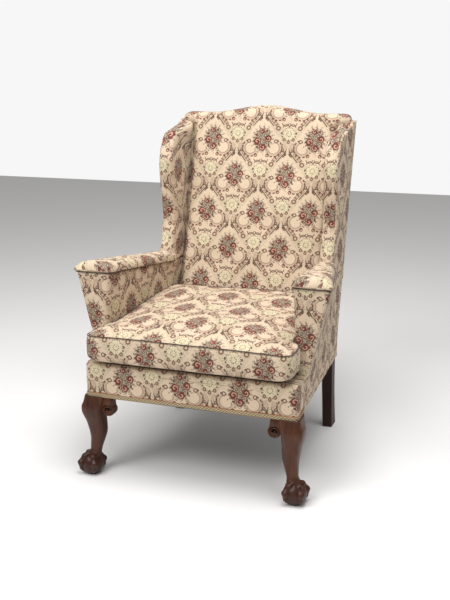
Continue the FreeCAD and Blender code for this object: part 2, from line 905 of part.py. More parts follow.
def corner_block_back():
    """Right rear block, between the post and both rails."""
    face = post_front
    rail_face = face + (post_depth - rail_thickness) / 2

    def inner(y):
        return side_half(y) - cover - rail_thickness
    z = rail_bottom + (rail_height - block_height) / 2
    return prism([
        (inner(face - block_reach), face - block_reach, z), (inner(face), face, z), (post_in, face, z),
        (post_in, rail_face, z), (post_in - block_reach, rail_face, z),
    ], (0, 0, block_height))


def screw(start, way, length):
    """Wood screw with a flat head, flush with the block at start."""
    start = Vector(*start)
    way = Vector(*way)
    rim = many_sided(start, screw_head, way, Vector(0, 0, 1))
    shank = rod(start, start + way * length, screw_radius, (0, 0, 1))
    return Part.Face(rim).extrude(way * (screw_head - screw_radius)).fuse(shank)


def block_screws():
    """One screw from each right corner block into each of its two rails."""
    z = rail_bottom + rail_height / 2
    near = cover + rail_thickness
    far = cover + stile + block_reach * 0.5
    x = stile_in - block_reach * 0.6
    face = post_front
    rail_face = face + (post_depth - rail_thickness) / 2
    back_x = post_in - block_reach * 0.6
    back_y0 = face - block_reach * 0.6
    depth = 16.0
    return [
        screw((x, near + depth, z), (0, -1, 0), depth + screw_bite),
        screw((side_half(far) - cover - rail_thickness - depth, far, z), (1, 0, 0), depth + screw_bite),
        screw((back_x, rail_face - depth, z), (0, 1, 0), depth + screw_bite),
        screw((side_half(back_y0) - cover - rail_thickness - depth, back_y0, z), (1, 0, 0),
              depth + screw_bite),
    ]


def frame_dowels():
    """Dowels of the right side: arm post to rail and board, crest and stay rail to the post."""
    pieces = []
    for share in (0.28, 0.72):
        y = arm_front + arm_post_depth * share
        low_x = (arm_inside(y, deck_height) + arm_padding / 2 + side_half(y) - cover) / 2
        pieces.append(rod((low_x, y, rail_top - dowel_half), (low_x, y, rail_top + dowel_half), dowel_radius))
        top = arm_z(y) - board_thickness
        top_x = (arm_inside(y, top) + arm_padding + arm_outside(y, top) - cover) / 2
        top_end = top + board_thickness * 0.7
        pieces.append(rod((top_x, y, top - dowel_half), (top_x, y, top_end), dowel_radius))
        x = post_in + post_width * (0.5 - (share - 0.5) * 0.9)
        y = back_y(crest_seat) - cover - post_depth / 2 + 4
        upright = rod((x, y, crest_seat - dowel_half), (x, y, crest_seat + dowel_half), dowel_radius)
        upright.rotate(Vector(0, back_y(crest_seat), crest_seat), Vector(1, 0, 0), -back_rake)
        pieces.append(upright)
        z = stay_low + (stay_high - stay_low) * share
        y = back_y(z) - cover - stay_thickness / 2 - (post_depth - stay_thickness - 4)
        pieces.append(rod((post_in - dowel_half, y, z), (post_in + dowel_half * 0.7, y, z), dowel_radius))
    return pieces


def front_edge_roll():
    """Stuffed roll on the front rail, under the border."""
    body = seat_plan(-cover, hessian_top, deck_height - cover)
    return body.common(block(-400, 400, -100, roll_depth, rail_top, deck_height))


def braid():
    band = seat_plan(braid_thickness, leg_height, leg_height + braid_height)
    return band.cut(seat_plan(0, leg_height - 1, leg_height + braid_height + 1))


def cushion():
    """Loose box cushion, T-shaped in plan, with drawn-in sides and a crowned top."""
    z0 = deck_height + cushion_gap
    middle_y = (cushion_front + cushion_back) / 2

    def ring(z, draw, pull):
        """The outline, shrunk by the share pull and drawn in by draw."""
        neck_front = arm_inside(cushion_ear_back, deck_height) - arm_undercut - cushion_side_gap
        neck_back = arm_inside_back - cushion_side_gap
        ear = cushion_ear_half
        r = cushion_corner
        pts = [
            (ear, cushion_front), (ear, cushion_ear_back), (neck_front, cushion_ear_back),
            (neck_back, cushion_back), (-neck_back, cushion_back), (-neck_front, cushion_ear_back),
            (-ear, cushion_ear_back), (-ear, cushion_front),
        ]
        radii = [r, 12, 6, r, r, 6, 12, r]
        outline = []
        count = len(pts)
        for i in range(count):
            p = Vector(pts[i][0], pts[i][1], 0)
            a = (Vector(*pts[i - 1], 0) - p).normalize()
            b = (Vector(*pts[(i + 1) % count], 0) - p).normalize()
            turn = a.getAngle(b)
            run = radii[i] / math.tan(turn / 2)
            start = p + a * run
            end = p + b * run
            for step in range(cushion_chords + 1):
                share = step / cushion_chords
                outline.append(start * (1 - share) ** 2 + p * (2 * share * (1 - share)) + end * share ** 2)

        def placed(v):
            x = v.x * (1 - pull) - math.copysign(min(draw, abs(v.x)), v.x)
            y = middle_y + (v.y - middle_y) * (1 - pull)
            y -= math.copysign(draw, y - middle_y)
            return (x, y, z)
        return polygon([placed(v) for v in outline])
    top = z0 + cushion_border
    return skin([
        ring(z0, 8, 0),
        ring(z0 + cushion_border * 0.12, 1, 0),
        ring(z0 + cushion_border * 0.5, 3, 0),
        ring(top, 0, 0),
        ring(top + cushion_crown * 0.5, 8, 0.16),
        ring(top + cushion_crown * 0.85, 8, 0.42),
        ring(top + cushion_crown, 8, 0.72),
    ])


def seat_spring(x, y):
    """Hourglass coil from the webbing to the hessian, narrow at its waist."""
    low = rail_bottom + spring_wire / 2
    high = rail_top - spring_wire / 2
    steps = int(spring_turns * coil_chords)
    points = []
    for step in range(steps + 1):
        share = step / steps
        radius = spring_waist + (spring_end - spring_waist) * (2 * share - 1) ** 2
        angle = 2 * math.pi * step / coil_chords
        z = low + (high - low) * share
        points.append(Vector(x + radius * math.cos(angle), y + radius * math.sin(angle), z))
    return tube(points, spring_wire / 2, Vector(0, 0, 1), wire_sides)


def springs():
    coils = []
    spread_x = 2 * (post_in - spring_end - spring_inset) / (spring_rows - 1)
    spread_y = (seat_depth - 2 * spring_margin) / (spring_rows - 1)
    for row in range(spring_rows):
        for column in range(spring_rows):
            x = (column - (spring_rows - 1) / 2) * spread_x
            coils.append(seat_spring(x, spring_margin + row * spread_y))
    pitch = (rail_height - spring_wire) / spring_turns
    print("least gap between the turns of a spring: %.1f" % (pitch - spring_wire))
    return Part.makeCompound(coils)


def straps(along_y):
    """Webbing under the rails. The side-to-side straps lie above the others."""
    pieces = []
    if along_y:
        reach = post_in - 20
        for i in range(strap_count):
            x = -reach + strap_width / 2 + (2 * reach - strap_width) * i / (strap_count - 1)
            pieces.append(block(x - strap_width / 2, x + strap_width / 2, cover + 6, seat_depth - cover - 8,
                                rail_bottom - 2 * cloth, rail_bottom - cloth))
    else:
        y0 = cover + stile + strap_width / 2 + 4
        y1 = post_front - strap_width / 2 - 4
        for i in range(strap_count):
            y = y0 + (y1 - y0) * i / (strap_count - 1)
            half = side_half(y + strap_width / 2) - cover - 6
            pieces.append(block(-half, half, y - strap_width / 2, y + strap_width / 2,
                                rail_bottom - cloth, rail_bottom))
    return Part.makeCompound(pieces)


def strap_tacks():
    """Two tacks at each end of every strap, their heads let into the strap."""
    tacks = []
    for along_y in (True, False):
        for strap in straps(along_y).Solids:
            box = strap.BoundBox
            for side in (-1, 1):
                for share in (0.3, 0.7):
                    if along_y:
                        x = box.XMin + box.XLength * share
                        y = box.YMin + 9 if side < 0 else box.YMax - 9
                    else:
                        x = side * (box.XMax - 9)
                        y = box.YMin + box.YLength * share
                    head = block(x - tack_head, x + tack_head, y - tack_head, y + tack_head,
                                 box.ZMin, box.ZMin + cloth / 2)
                    shank = block(x - tack_shank, x + tack_shank, y - tack_shank, y + tack_shank,
                                  box.ZMin, box.ZMin + tack_length)
                    tacks.append(head.fuse(shank))
    return tacks


def less(shape, others):
    """The shape with every other piece that meets it cut away."""
    near = [o for o in others if o.BoundBox.intersect(shape.BoundBox)]
    return shape.cut(near) if near else shape


def main_piece(shape):
    """The largest solid: offcuts beside it fall away."""
    return max(shape.Solids, key=lambda solid: solid.Volume)


def main():
    os.makedirs("parts", exist_ok=True)

    # Frame: every joint is cut from the piece that enters it
    screws = block_screws()
    dowels = frame_dowels()
    tacks = strap_tacks()
    fixings = screws + dowels + tacks
    rail = less(front_rail(), fixings + [mirrored(s) for s in screws])
    side = less(side_rail(), fixings)
    rear = less(back_rail(), fixings + [mirrored(s) for s in screws])
    crest = less(crest_rail(), dowels + [mirrored(d) for d in dowels])
    stay = less(cross_rail(stay_low, stay_high, stay_thickness), dowels + [mirrored(d) for d in dowels])
    leg = front_leg().cut([front_rail(), side_rail()])
    post = less(rear_post().cut(above_crest_seat()), [side_rail(), back_rail()] + dowels)
    stump = less(arm_post(), dowels)
    outside_arm = outside_arm_cover()
    board = less(arm_board(), [post, outside_arm] + dowels)
    upright = wing_post().cut(board)
    wing_top_rail = wing_rail().cut([post, upright, crest, back_webbing()])
    tacking = tacking_rail().cut([post, outside_arm])
    blocks = [less(b, screws) for b in (corner_block_front(), corner_block_back())]
    save_pair("front_leg", leg)
    save_pair("rear_post", post)
    save("front_rail", rail)
    save_pair("side_rail", side)
    save("back_rail", rear)
    save("crest_rail", crest)
    save("stay_rail", stay)
    save_pair("arm_post", stump)
    save_pair("arm_board", board)
    save_pair("tacking_rail", tacking)
    save_pair("wing_post", upright)
    save_pair("wing_rail", wing_top_rail)
    save("corner_blocks", Part.makeCompound(blocks + [mirrored(b) for b in blocks]))
    save("block_screws", Part.makeCompound(screws + [mirrored(s) for s in screws]))
    save("frame_dowels", Part.makeCompound(dowels + [mirrored(d) for d in dowels]))

    # Carved ears beside each knee
    ear = knee_ear()
    axis = Vector(stile_out - stile / 2, cover + stile / 2, 0)
    side_ear = ear.copy()
    side_ear.rotate(axis, Vector(0, 0, 1), 90)
    side_ear = side_ear.mirror(axis, Vector(0, 1, 0))
    save_pair("front_ear", ear.cut(leg))
    save_pair("side_ear", side_ear.cut(leg))

    # Upholstery, from the webbing outwards
    both_posts = [post, mirrored(post), stump, mirrored(stump)] + dowels + [mirrored(d) for d in dowels]
    save("webbing_long", straps(True).cut(tacks))
    save("webbing_cross", straps(False).cut(tacks))
    save("webbing_tacks", Part.makeCompound(tacks))
    save("seat_springs", springs())
    facing_pair = [arm_facing(), mirrored(arm_facing())]
    border = front_rail_cover()
    save("seat_hessian", main_piece(less(seat_hessian(), both_posts)))
    save("front_edge_roll", less(front_edge_roll(), both_posts))
    save("deck_pad", less(deck_pad(), both_posts + facing_pair + [border]))
    save("deck_cover", less(deck_cover(), both_posts + facing_pair + [border]))
    legs = [leg, mirrored(leg)]
    save("dust_cover", main_piece(less(dust_cover(), both_posts + legs)))
    save("back_webbing", back_webbing())
    save("back_hessian", back_hessian())
    back_pad = inside_back_pad()
    top_pad = main_piece(less(crest_pad(), both_posts + [crest, wing_top_rail, mirrored(wing_top_rail)]))
    save("inside_back_pad", back_pad)
    save("crest_pad", top_pad)
    back_cloth = less(outside_back_cover(), [outside_arm, mirrored(outside_arm)])
    wing_cloth = main_piece(less(outside_wing_cover(), [top_pad, board, back_cloth]))
    wing_frame = [post, board, upright, wing_top_rail, crest, back_pad, top_pad, back_webbing()]
    wing_stuffing = main_piece(less(wing_pad(), wing_frame))
    save_pair("wing_pad", wing_stuffing)
    save_pair("outside_wing_cover", wing_cloth)
    beside_arm_pad = [back_pad, wing_stuffing, tacking, stump, board]
    save_pair("inside_arm_pad", main_piece(less(inside_arm_pad(), beside_arm_pad)))
    save_pair("arm_top_pad", main_piece(less(arm_top_pad(), [wing_stuffing, upright, wing_cloth, board])))
    save_pair("arm_facing", main_piece(less(arm_facing(), [border, front_edge_roll()])))
    save_pair("outside_arm_cover", main_piece(less(outside_arm, [wing_cloth])))
    save("outside_back_cover", main_piece(back_cloth))
    save("front_rail_cover", main_piece(less(border, legs)))
    save("braid", main_piece(less(braid(), legs + [outside_arm, mirrored(outside_arm), back_cloth])))
    save("seat_cushion", cushion())


main()
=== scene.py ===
import math

import bpy
import mathutils
import numpy as np
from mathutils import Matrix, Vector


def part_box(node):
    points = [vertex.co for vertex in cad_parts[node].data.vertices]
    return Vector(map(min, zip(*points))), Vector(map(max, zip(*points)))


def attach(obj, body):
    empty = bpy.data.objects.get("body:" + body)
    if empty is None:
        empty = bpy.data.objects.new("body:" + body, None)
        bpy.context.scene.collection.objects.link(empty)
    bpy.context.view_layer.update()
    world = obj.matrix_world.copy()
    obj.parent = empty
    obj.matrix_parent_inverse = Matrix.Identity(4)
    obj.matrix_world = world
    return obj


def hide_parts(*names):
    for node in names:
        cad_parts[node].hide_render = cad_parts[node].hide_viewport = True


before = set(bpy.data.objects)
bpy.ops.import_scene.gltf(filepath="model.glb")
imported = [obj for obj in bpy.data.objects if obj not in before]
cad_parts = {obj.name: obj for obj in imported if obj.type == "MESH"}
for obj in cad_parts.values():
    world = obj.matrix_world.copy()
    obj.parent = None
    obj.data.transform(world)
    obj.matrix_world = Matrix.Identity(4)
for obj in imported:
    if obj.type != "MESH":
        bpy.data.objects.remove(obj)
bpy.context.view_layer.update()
print("stage: frame loaded")

# The chair's own shape, in metres. y is measured from the front of the seat and moved by middle at the end.
chair = {
    "middle": 0.366675,
    "frontHalf": 0.321,
    "backHalf": 0.289,
    "depth": 0.600,
    "low": 0.244,
    "deck": 0.356,
    "crest": 1.050,
    "crestRise": 0.024,
    "crestHump": 0.190,
    "crestShoulder": 0.262,
    "crestDrop": 0.013,
    "crestFall": 0.032,
    "rakeStart": 0.330,
    "rake": math.tan(math.radians(13)),
    "insideBase": 0.478,
    "insideRake": math.tan(math.radians(16.5)),
    "lean": math.tan(math.radians(0.83)),
}
arm = {
    "front": 0.098,
    "height": 0.597,
    "slope": 0.105,
    "flare": 0.068,
    "flareStart": 0.310,
    "insideFront": 0.276,
    "insideBack": 0.244,
    "undercut": 0.014,
    "end": 0.500,
}
pattern = {"wide": 0.175, "high": 0.239}   # one repeat of the weave
up = np.array([0, 0, 1])


def sideHalf(y):
    return chair["frontHalf"] + (chair["backHalf"] - chair["frontHalf"]) * np.minimum(y / chair["depth"], 1)


def backY(z):
    return chair["depth"] + np.maximum(0.0, z - chair["rakeStart"]) * chair["rake"]


def insideY(z):
    return chair["insideBase"] + (z - chair["deck"]) * chair["insideRake"]


def armZ(y):
    return arm["height"] - (y - arm["front"]) * arm["slope"]


def armShare(y):
    return np.clip((arm["end"] - y) / (arm["end"] - arm["front"]), 0, 1.03)


def armOutside(y, z):
    # the seat's half width, flared out and up towards the front, and leaning as the back does at the rear
    rise = np.maximum(0.0, (z - arm["flareStart"]) / (arm["height"] - arm["flareStart"]))
    share = armShare(y)
    return sideHalf(y) + share * arm["flare"] * rise + (1 - share) * chair["lean"] * (z - chair["low"])


def armInside(y, z):
    top = arm["insideBack"] + armShare(y) * (arm["insideFront"] - arm["insideBack"])
    return top + arm["undercut"] * (armZ(y) - z) / (armZ(y) - chair["deck"])


def crestZ(x):
    # flat at the ends, a smooth hump in the middle, and a quick fall over each wing
    swell = np.clip(1 - np.abs(x) / chair["crestHump"], 0, 1)
    fall = np.clip((np.abs(x) - chair["crestShoulder"]) / chair["crestFall"], 0, 1)
    hump = chair["crestRise"] * (1 - 3 * swell ** 2 + 2 * swell ** 3)
    return chair["crest"] - hump - chair["crestDrop"] * fall ** 2


def ramp(a, b, t):
    # smooth step from 0 at a to 1 at b
    s = np.clip((t - a) / (b - a), 0, 1)
    return s * s * (3 - 2 * s)


def waves(a, b, seed, scale=1.0):
    # slow lumps: a sum of five sines in turned directions, between about -1 and 1
    total = 0.0
    for k in range(5):
        turn = seed * 1.7 + k * 2.4
        stretch = scale * (1 + 0.37 * k)
        total = total + np.sin(stretch * (a * np.cos(turn) + b * np.sin(turn)) + seed * 3.1 + k)
    return total / 3.2


def smoothRun(points, count):
    # Catmull-Rom curve through the points, sampled evenly by its length
    p = np.array(points, float)
    p = np.vstack([2 * p[0] - p[1], p, 2 * p[-1] - p[-2]])
    t = np.linspace(0, len(p) - 3, count * 6)
    i = np.minimum(t.astype(int), len(p) - 4)
    f = (t - i)[:, None]
    a, b, c, d = p[i], p[i + 1], p[i + 2], p[i + 3]
    q = 0.5 * (2 * b + (c - a) * f + (2 * a - 5 * b + 4 * c - d) * f ** 2 + (3 * b - a - 3 * c + d) * f ** 3)
    return evenly(q, count)


def evenly(q, count):
    # the same line with its points spaced evenly
    run = lengths(q)
    s = np.linspace(0, run[-1], count)
    return np.stack([np.interp(s, run, q[:, k]) for k in range(q.shape[1])], 1)


def lengths(q):
    # distance along a line of points, from 0
    return np.concatenate([[0], np.cumsum(np.linalg.norm(np.diff(q, axis=0), axis=1))])


def bent(values, power):
    # the values to a power, with their signs kept
    return np.sign(values) * np.abs(values) ** power


def bell(values, width):
    # 1 at 0, falling smoothly to nothing beyond about twice the width
    return np.exp(-(values / width) ** 2)


def circle(count):
    # even angles once round
    return np.linspace(0, 2 * math.pi, count, endpoint=False)


def looped(line):
    return np.vstack([line, line[:1]])


def levelNormal(along):
    # level unit directions square to the directions given
    normal = np.stack([along[:, 1], -along[:, 0], 0 * along[:, 0]], 1)
    return normal / np.linalg.norm(normal, axis=1)[:, None]


def stack(x, y, z):
    return np.stack(np.broadcast_arrays(x, y, z), -1)


def placed(points, side=1):
    # moves from the seat's front to the middle of the chair, and mirrors where side is -1
    return points * np.array([side, 1, 1]) - np.array([0, chair["middle"], 0])


def surface(points, uv=None, caps=True):
    # a grid of points, rows by columns, whose columns close round; uv has one more column than points
    rows, cols = points.shape[:2]
    ids = np.arange(rows * cols).reshape(rows, cols)
    around = np.concatenate([ids, ids[:, :1]], 1)
    if uv is None:
        uv = np.zeros((rows, cols + 1, 2))
    corners = lambda g: np.stack([g[:-1, :-1], g[1:, :-1], g[1:, 1:], g[:-1, 1:]], 2)
    quads = corners(around).reshape(-1, 4)
    quadUv = corners(uv).reshape(-1, 4, 2)
    verts = points.reshape(-1, 3)
    tris = np.zeros((0, 3), int)
    triUv = np.zeros((0, 3, 2))
    if caps:
        ends = np.stack([points[0].mean(0), points[-1].mean(0)])
        verts = np.vstack([verts, ends])
        first = np.stack([around[0, :-1], around[0, 1:], np.full(cols, rows * cols)], 1)
        last = np.stack([around[-1, 1:], around[-1, :-1], np.full(cols, rows * cols + 1)], 1)
        tris = np.vstack([first, last])
        middle = lambda row: np.broadcast_to(row[:-1].mean(0), (cols, 2))
        triUv = np.concatenate([
            np.stack([uv[0, :-1], uv[0, 1:], middle(uv[0])], 1),
            np.stack([uv[-1, 1:], uv[-1, :-1], middle(uv[-1])], 1)])
    a, b, c = verts[quads[:, 0]], verts[quads[:, 1]], verts[quads[:, 2]]
    d = verts[quads[:, 3]]
    volume = np.einsum("ij,ij->i", a, np.cross(b, c)).sum() + np.einsum("ij,ij->i", a, np.cross(c, d)).sum()
    e, f, g = (verts[tris[:, k]] for k in range(3))
    volume += np.einsum("ij,ij->i", e, np.cross(f, g)).sum()
    if volume < 0:   # faces point outwards
        quads, quadUv, tris, triUv = quads[:, ::-1], quadUv[:, ::-1], tris[:, ::-1], triUv[:, ::-1]
    return verts, quads, quadUv, tris, triUv


def makePiece(name, surfaces, material, body="chair", replaced=()):
    verts, loops, uvs, totals = [], [], [], []
    start = 0
    for points, quads, quadUv, tris, triUv in surfaces:
        verts.append(points)
        loops += [quads.ravel() + start, tris.ravel() + start]
        uvs += [quadUv.reshape(-1, 2), triUv.reshape(-1, 2)]
        totals += [np.full(len(quads), 4), np.full(len(tris), 3)]
        start += len(points)
    verts, loops, uvs, totals = (np.concatenate(v) for v in (verts, loops, uvs, totals))
    mesh = bpy.data.meshes.new(name)
    mesh.vertices.add(len(verts))
    mesh.vertices.foreach_set("co", verts.astype(np.float32).ravel())
    mesh.loops.add(len(loops))
    mesh.loops.foreach_set("vertex_index", loops.astype(np.int32))
    mesh.polygons.add(len(totals))
    mesh.polygons.foreach_set("loop_start", np.concatenate([[0], np.cumsum(totals)[:-1]]).astype(np.int32))
    mesh.polygons.foreach_set("loop_total", totals.astype(np.int32))
    mesh.update(calc_edges=True)
    layer = mesh.uv_layers.new(name="clothUv")
    layer.data.foreach_set("uv", uvs.astype(np.float32).ravel())
    mesh.polygons.foreach_set("use_smooth", np.ones(len(totals), bool))
    mesh.materials.append(material)
    mesh.validate()
    piece = bpy.data.objects.new(name, mesh)
    bpy.context.scene.collection.objects.link(piece)
    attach(piece, body)
    if replaced:
        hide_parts(*replaced)
    return piece


# Materials

def newTree(material):
    material.use_nodes = True
    tree = material.node_tree
    return tree, tree.nodes["Principled BSDF"]


def feed(tree, value, socket):
    # a link where the value is a socket, or else a constant
    if isinstance(value, bpy.types.NodeSocket):
        tree.links.new(value, socket)
    else:
        socket.default_value = value


def setAll(node, **values):
    # constants by socket name, where an underline stands for a space
    for label, value in values.items():
        node.inputs[label.replace("_", " ")].default_value = value


def calc(tree, kind, *values):
    node = tree.nodes.new("ShaderNodeMath")
    node.operation = kind
    for k, value in enumerate(values):
        feed(tree, value, node.inputs[k])
    return node.outputs[0]


def chained(tree, kind, values):
    # the values joined two at a time, from the left
    total = values[0]
    for value in values[1:]:
        total = calc(tree, kind, total, value)
    return total


def times(tree, *values):
    return chained(tree, "MULTIPLY", values)


def plus(tree, *values):
    return chained(tree, "ADD", values)


def most(tree, *values):
    return chained(tree, "MAXIMUM", values)


def minus(tree, a, b):
    return calc(tree, "SUBTRACT", a, b)


def sine(tree, value):
    return calc(tree, "SINE", value)


def absolute(tree, value):
    return calc(tree, "ABSOLUTE", value)


def blended(tree, a, shareA, b, shareB):
    # weighted sum of two values
    return plus(tree, times(tree, a, shareA), times(tree, b, shareB))


def shifted(tree, value, share, base):
    # base plus a share of the value
    return plus(tree, times(tree, value, share), base)


def vector(tree, kind, a, b=None):
    node = tree.nodes.new("ShaderNodeVectorMath")
    node.operation = kind
    feed(tree, a, node.inputs[0])
    if b is not None:
        feed(tree, b, node.inputs[1])
    return node.outputs["Value"] if kind in ("LENGTH", "DOT_PRODUCT") else node.outputs["Vector"]


def split(tree, at):
    node = tree.nodes.new("ShaderNodeSeparateXYZ")
    tree.links.new(at, node.inputs[0])
    return node.outputs["X"], node.outputs["Y"], node.outputs["Z"]


def joined(tree, x, y):
    node = tree.nodes.new("ShaderNodeCombineXYZ")
    tree.links.new(x, node.inputs["X"])
    tree.links.new(y, node.inputs["Y"])
    return node.outputs[0]


def bearing(tree, at):
    # the angle of a place round the middle
    x, y, z = split(tree, at)
    return calc(tree, "ARCTAN2", y, x)


def moved(tree, at, x, y):
    return vector(tree, "SUBTRACT", at, (x, y, 0))


def toward(tree, at, x, y):
    # how far a place lies in a direction
    return vector(tree, "DOT_PRODUCT", at, (x, y, 0))


def step(tree, value, low, high):
    # smooth step from 0 at low to 1 at high, or down where high is less than low
    node = tree.nodes.new("ShaderNodeMapRange")
    node.interpolation_type = "SMOOTHSTEP"
    flip = high < low
    feed(tree, value, node.inputs["Value"])
    setAll(node, From_Min=min(low, high), From_Max=max(low, high), To_Min=float(flip), To_Max=float(not flip))
    return node.outputs["Result"]


def beats(tree, value, count, low, high):
    # marks at an even pitch: a smooth step over the sine of the value times count
    return step(tree, sine(tree, times(tree, value, count)), low, high)


def mixed(tree, share, a, b, kind="MIX"):
    node = tree.nodes.new("ShaderNodeMix")
    node.data_type = "RGBA"
    node.blend_type = kind
    feed(tree, share, node.inputs[0])
    feed(tree, a, node.inputs[6])
    feed(tree, b, node.inputs[7])
    return node.outputs[2]


def noise(tree, at, scale, detail=2.0, rough=0.5):
    node = tree.nodes.new("ShaderNodeTexNoise")
    feed(tree, at, node.inputs["Vector"])
    setAll(node, Scale=scale, Detail=detail, Roughness=rough)
    return node.outputs["Fac"]


def newGroup(name, inputs, outputs):
    # a node group of a place At and plain numbers
    group = bpy.data.node_groups.new(name, "ShaderNodeTree")
    group.interface.new_socket(name="At", in_out="INPUT", socket_type="NodeSocketVector")
    for labels, way in ((inputs, "INPUT"), (outputs, "OUTPUT")):
        for label in labels:
            group.interface.new_socket(name=label, in_out=way, socket_type="NodeSocketFloat")
    enter = group.nodes.new("NodeGroupInput")
    return group, enter.outputs, group.nodes.new("NodeGroupOutput").inputs


def useGroup(tree, group, **values):
    node = tree.nodes.new("ShaderNodeGroup")
    node.node_tree = group
    for label, value in values.items():
        feed(tree, value, node.inputs[label])
    return node.outputs


def spot(tree, at, x, y, wide=1.0, high=1.0):
    # distance from a point, with each axis divided by its half size
    return vector(tree, "LENGTH", vector(tree, "MULTIPLY", moved(tree, at, x, y), (1 / wide, 1 / high, 0)))


def disc(tree, at, x, y, wide, high, soft):
    return step(tree, spot(tree, at, x, y, wide, high), 1 + soft, 1 - soft)


def ring(tree, distance, radius, half, soft=0.006):
    # a line round a centre: 1 where the distance is within half of the radius
    return step(tree, absolute(tree, minus(tree, distance, radius)), half + soft, max(half - soft, 0.0))


def strip(tree, at, x, y, turn, long, half, soft=0.006):
    # a bar centred at x, y, turned by turn degrees: two folded distances
    c, s = math.cos(math.radians(turn)), math.sin(math.radians(turn))
    away = moved(tree, at, x, y)
    along, across = toward(tree, away, c, s), toward(tree, away, -s, c)
    inLength = step(tree, absolute(tree, along), long + soft, long - soft)
    inWidth = step(tree, absolute(tree, across), half + soft, max(half - soft, 0.0))
    return times(tree, inLength, inWidth), along, across


# places and sizes inside one repeat, in units of its width: x, y, radius or sizes, half width of the line
scrollwork = {
    "medallion": (0, -0.03, 0.345, 0.47),
    "slopes": ((0.66, 0.75, 0.315, 0.295), (0.80, 0.60, 0.285, 0.265)),   # direction, then where it fades out
    "vee": (0.115, 0.360, -50, 0.135, 0.010),
    "husk": (0.205, 0.345, -48, 0.115, 0.030),
    "huskEdge": (0.018, 0.026),
    "huskTicks": (95.0, 0.35, 0.75),
    "scroll": (0.225, -0.165),
    "scrollOpening": (-0.75, 0.66),
    "scrollEnds": (0.075, 0.045),
    "scrollLinks": (13.0, -0.75, -0.1),
    "scrollInner": (0.108, 0.008),
    "scrollInnerShare": 0.62,
    "scrollFill": (0.131, 0.018),
    "scrollOuter": (0.160, 0.013),
    "cartouche": (0.5, 0.105),
    "scallops": (4.0, -0.020),
    "cartoucheGround": (0.112, 0.100),
    "cartoucheRing": (0.106, 0.008),
    "cartoucheDots": (22.0, -0.3, 0.4),
    "flowerRing": (0.046, 0.008),
    "flowerPetals": (10.0, -0.2, 0.5),
    "comma": (0.428, -0.145, 0.052, 0.090),
    "commaFill": (1.05, 0.9),
    "commaLine": (1.0, 0.11, 0.1),
    "commaHalf": (0.7, 0.7, 0.03, 0.01),
    "arches": ((0.075, -0.365, 0.062, 0.008, -0.36, -0.38), (0.440, 0.225, 0.060, 0.008, 0.215, 0.235)),
    "darkRings": ((0.262, -0.035, 0.030, 0.009), (0.398, -0.205, 0.024, 0.008)),
    "redRings": ((0.292, 0.215, 0.034, 0.013), (0.115, -0.300, 0.026, 0.010), (0.5, -0.045, 0.021, 0.011),
                 (0.412, 0.0, 0.021, 0.011)),
    "darkDiscs": ((0.452, -0.275, 0.024, 0.034, 0.25), (0.360, 0.120, 0.016, 0.022, 0.3),
                  (0.375, 0.060, 0.014, 0.014, 0.3)),
    "redDiscs": ((0.425, -0.315, 0.020, 0.020, 0.25),),
}


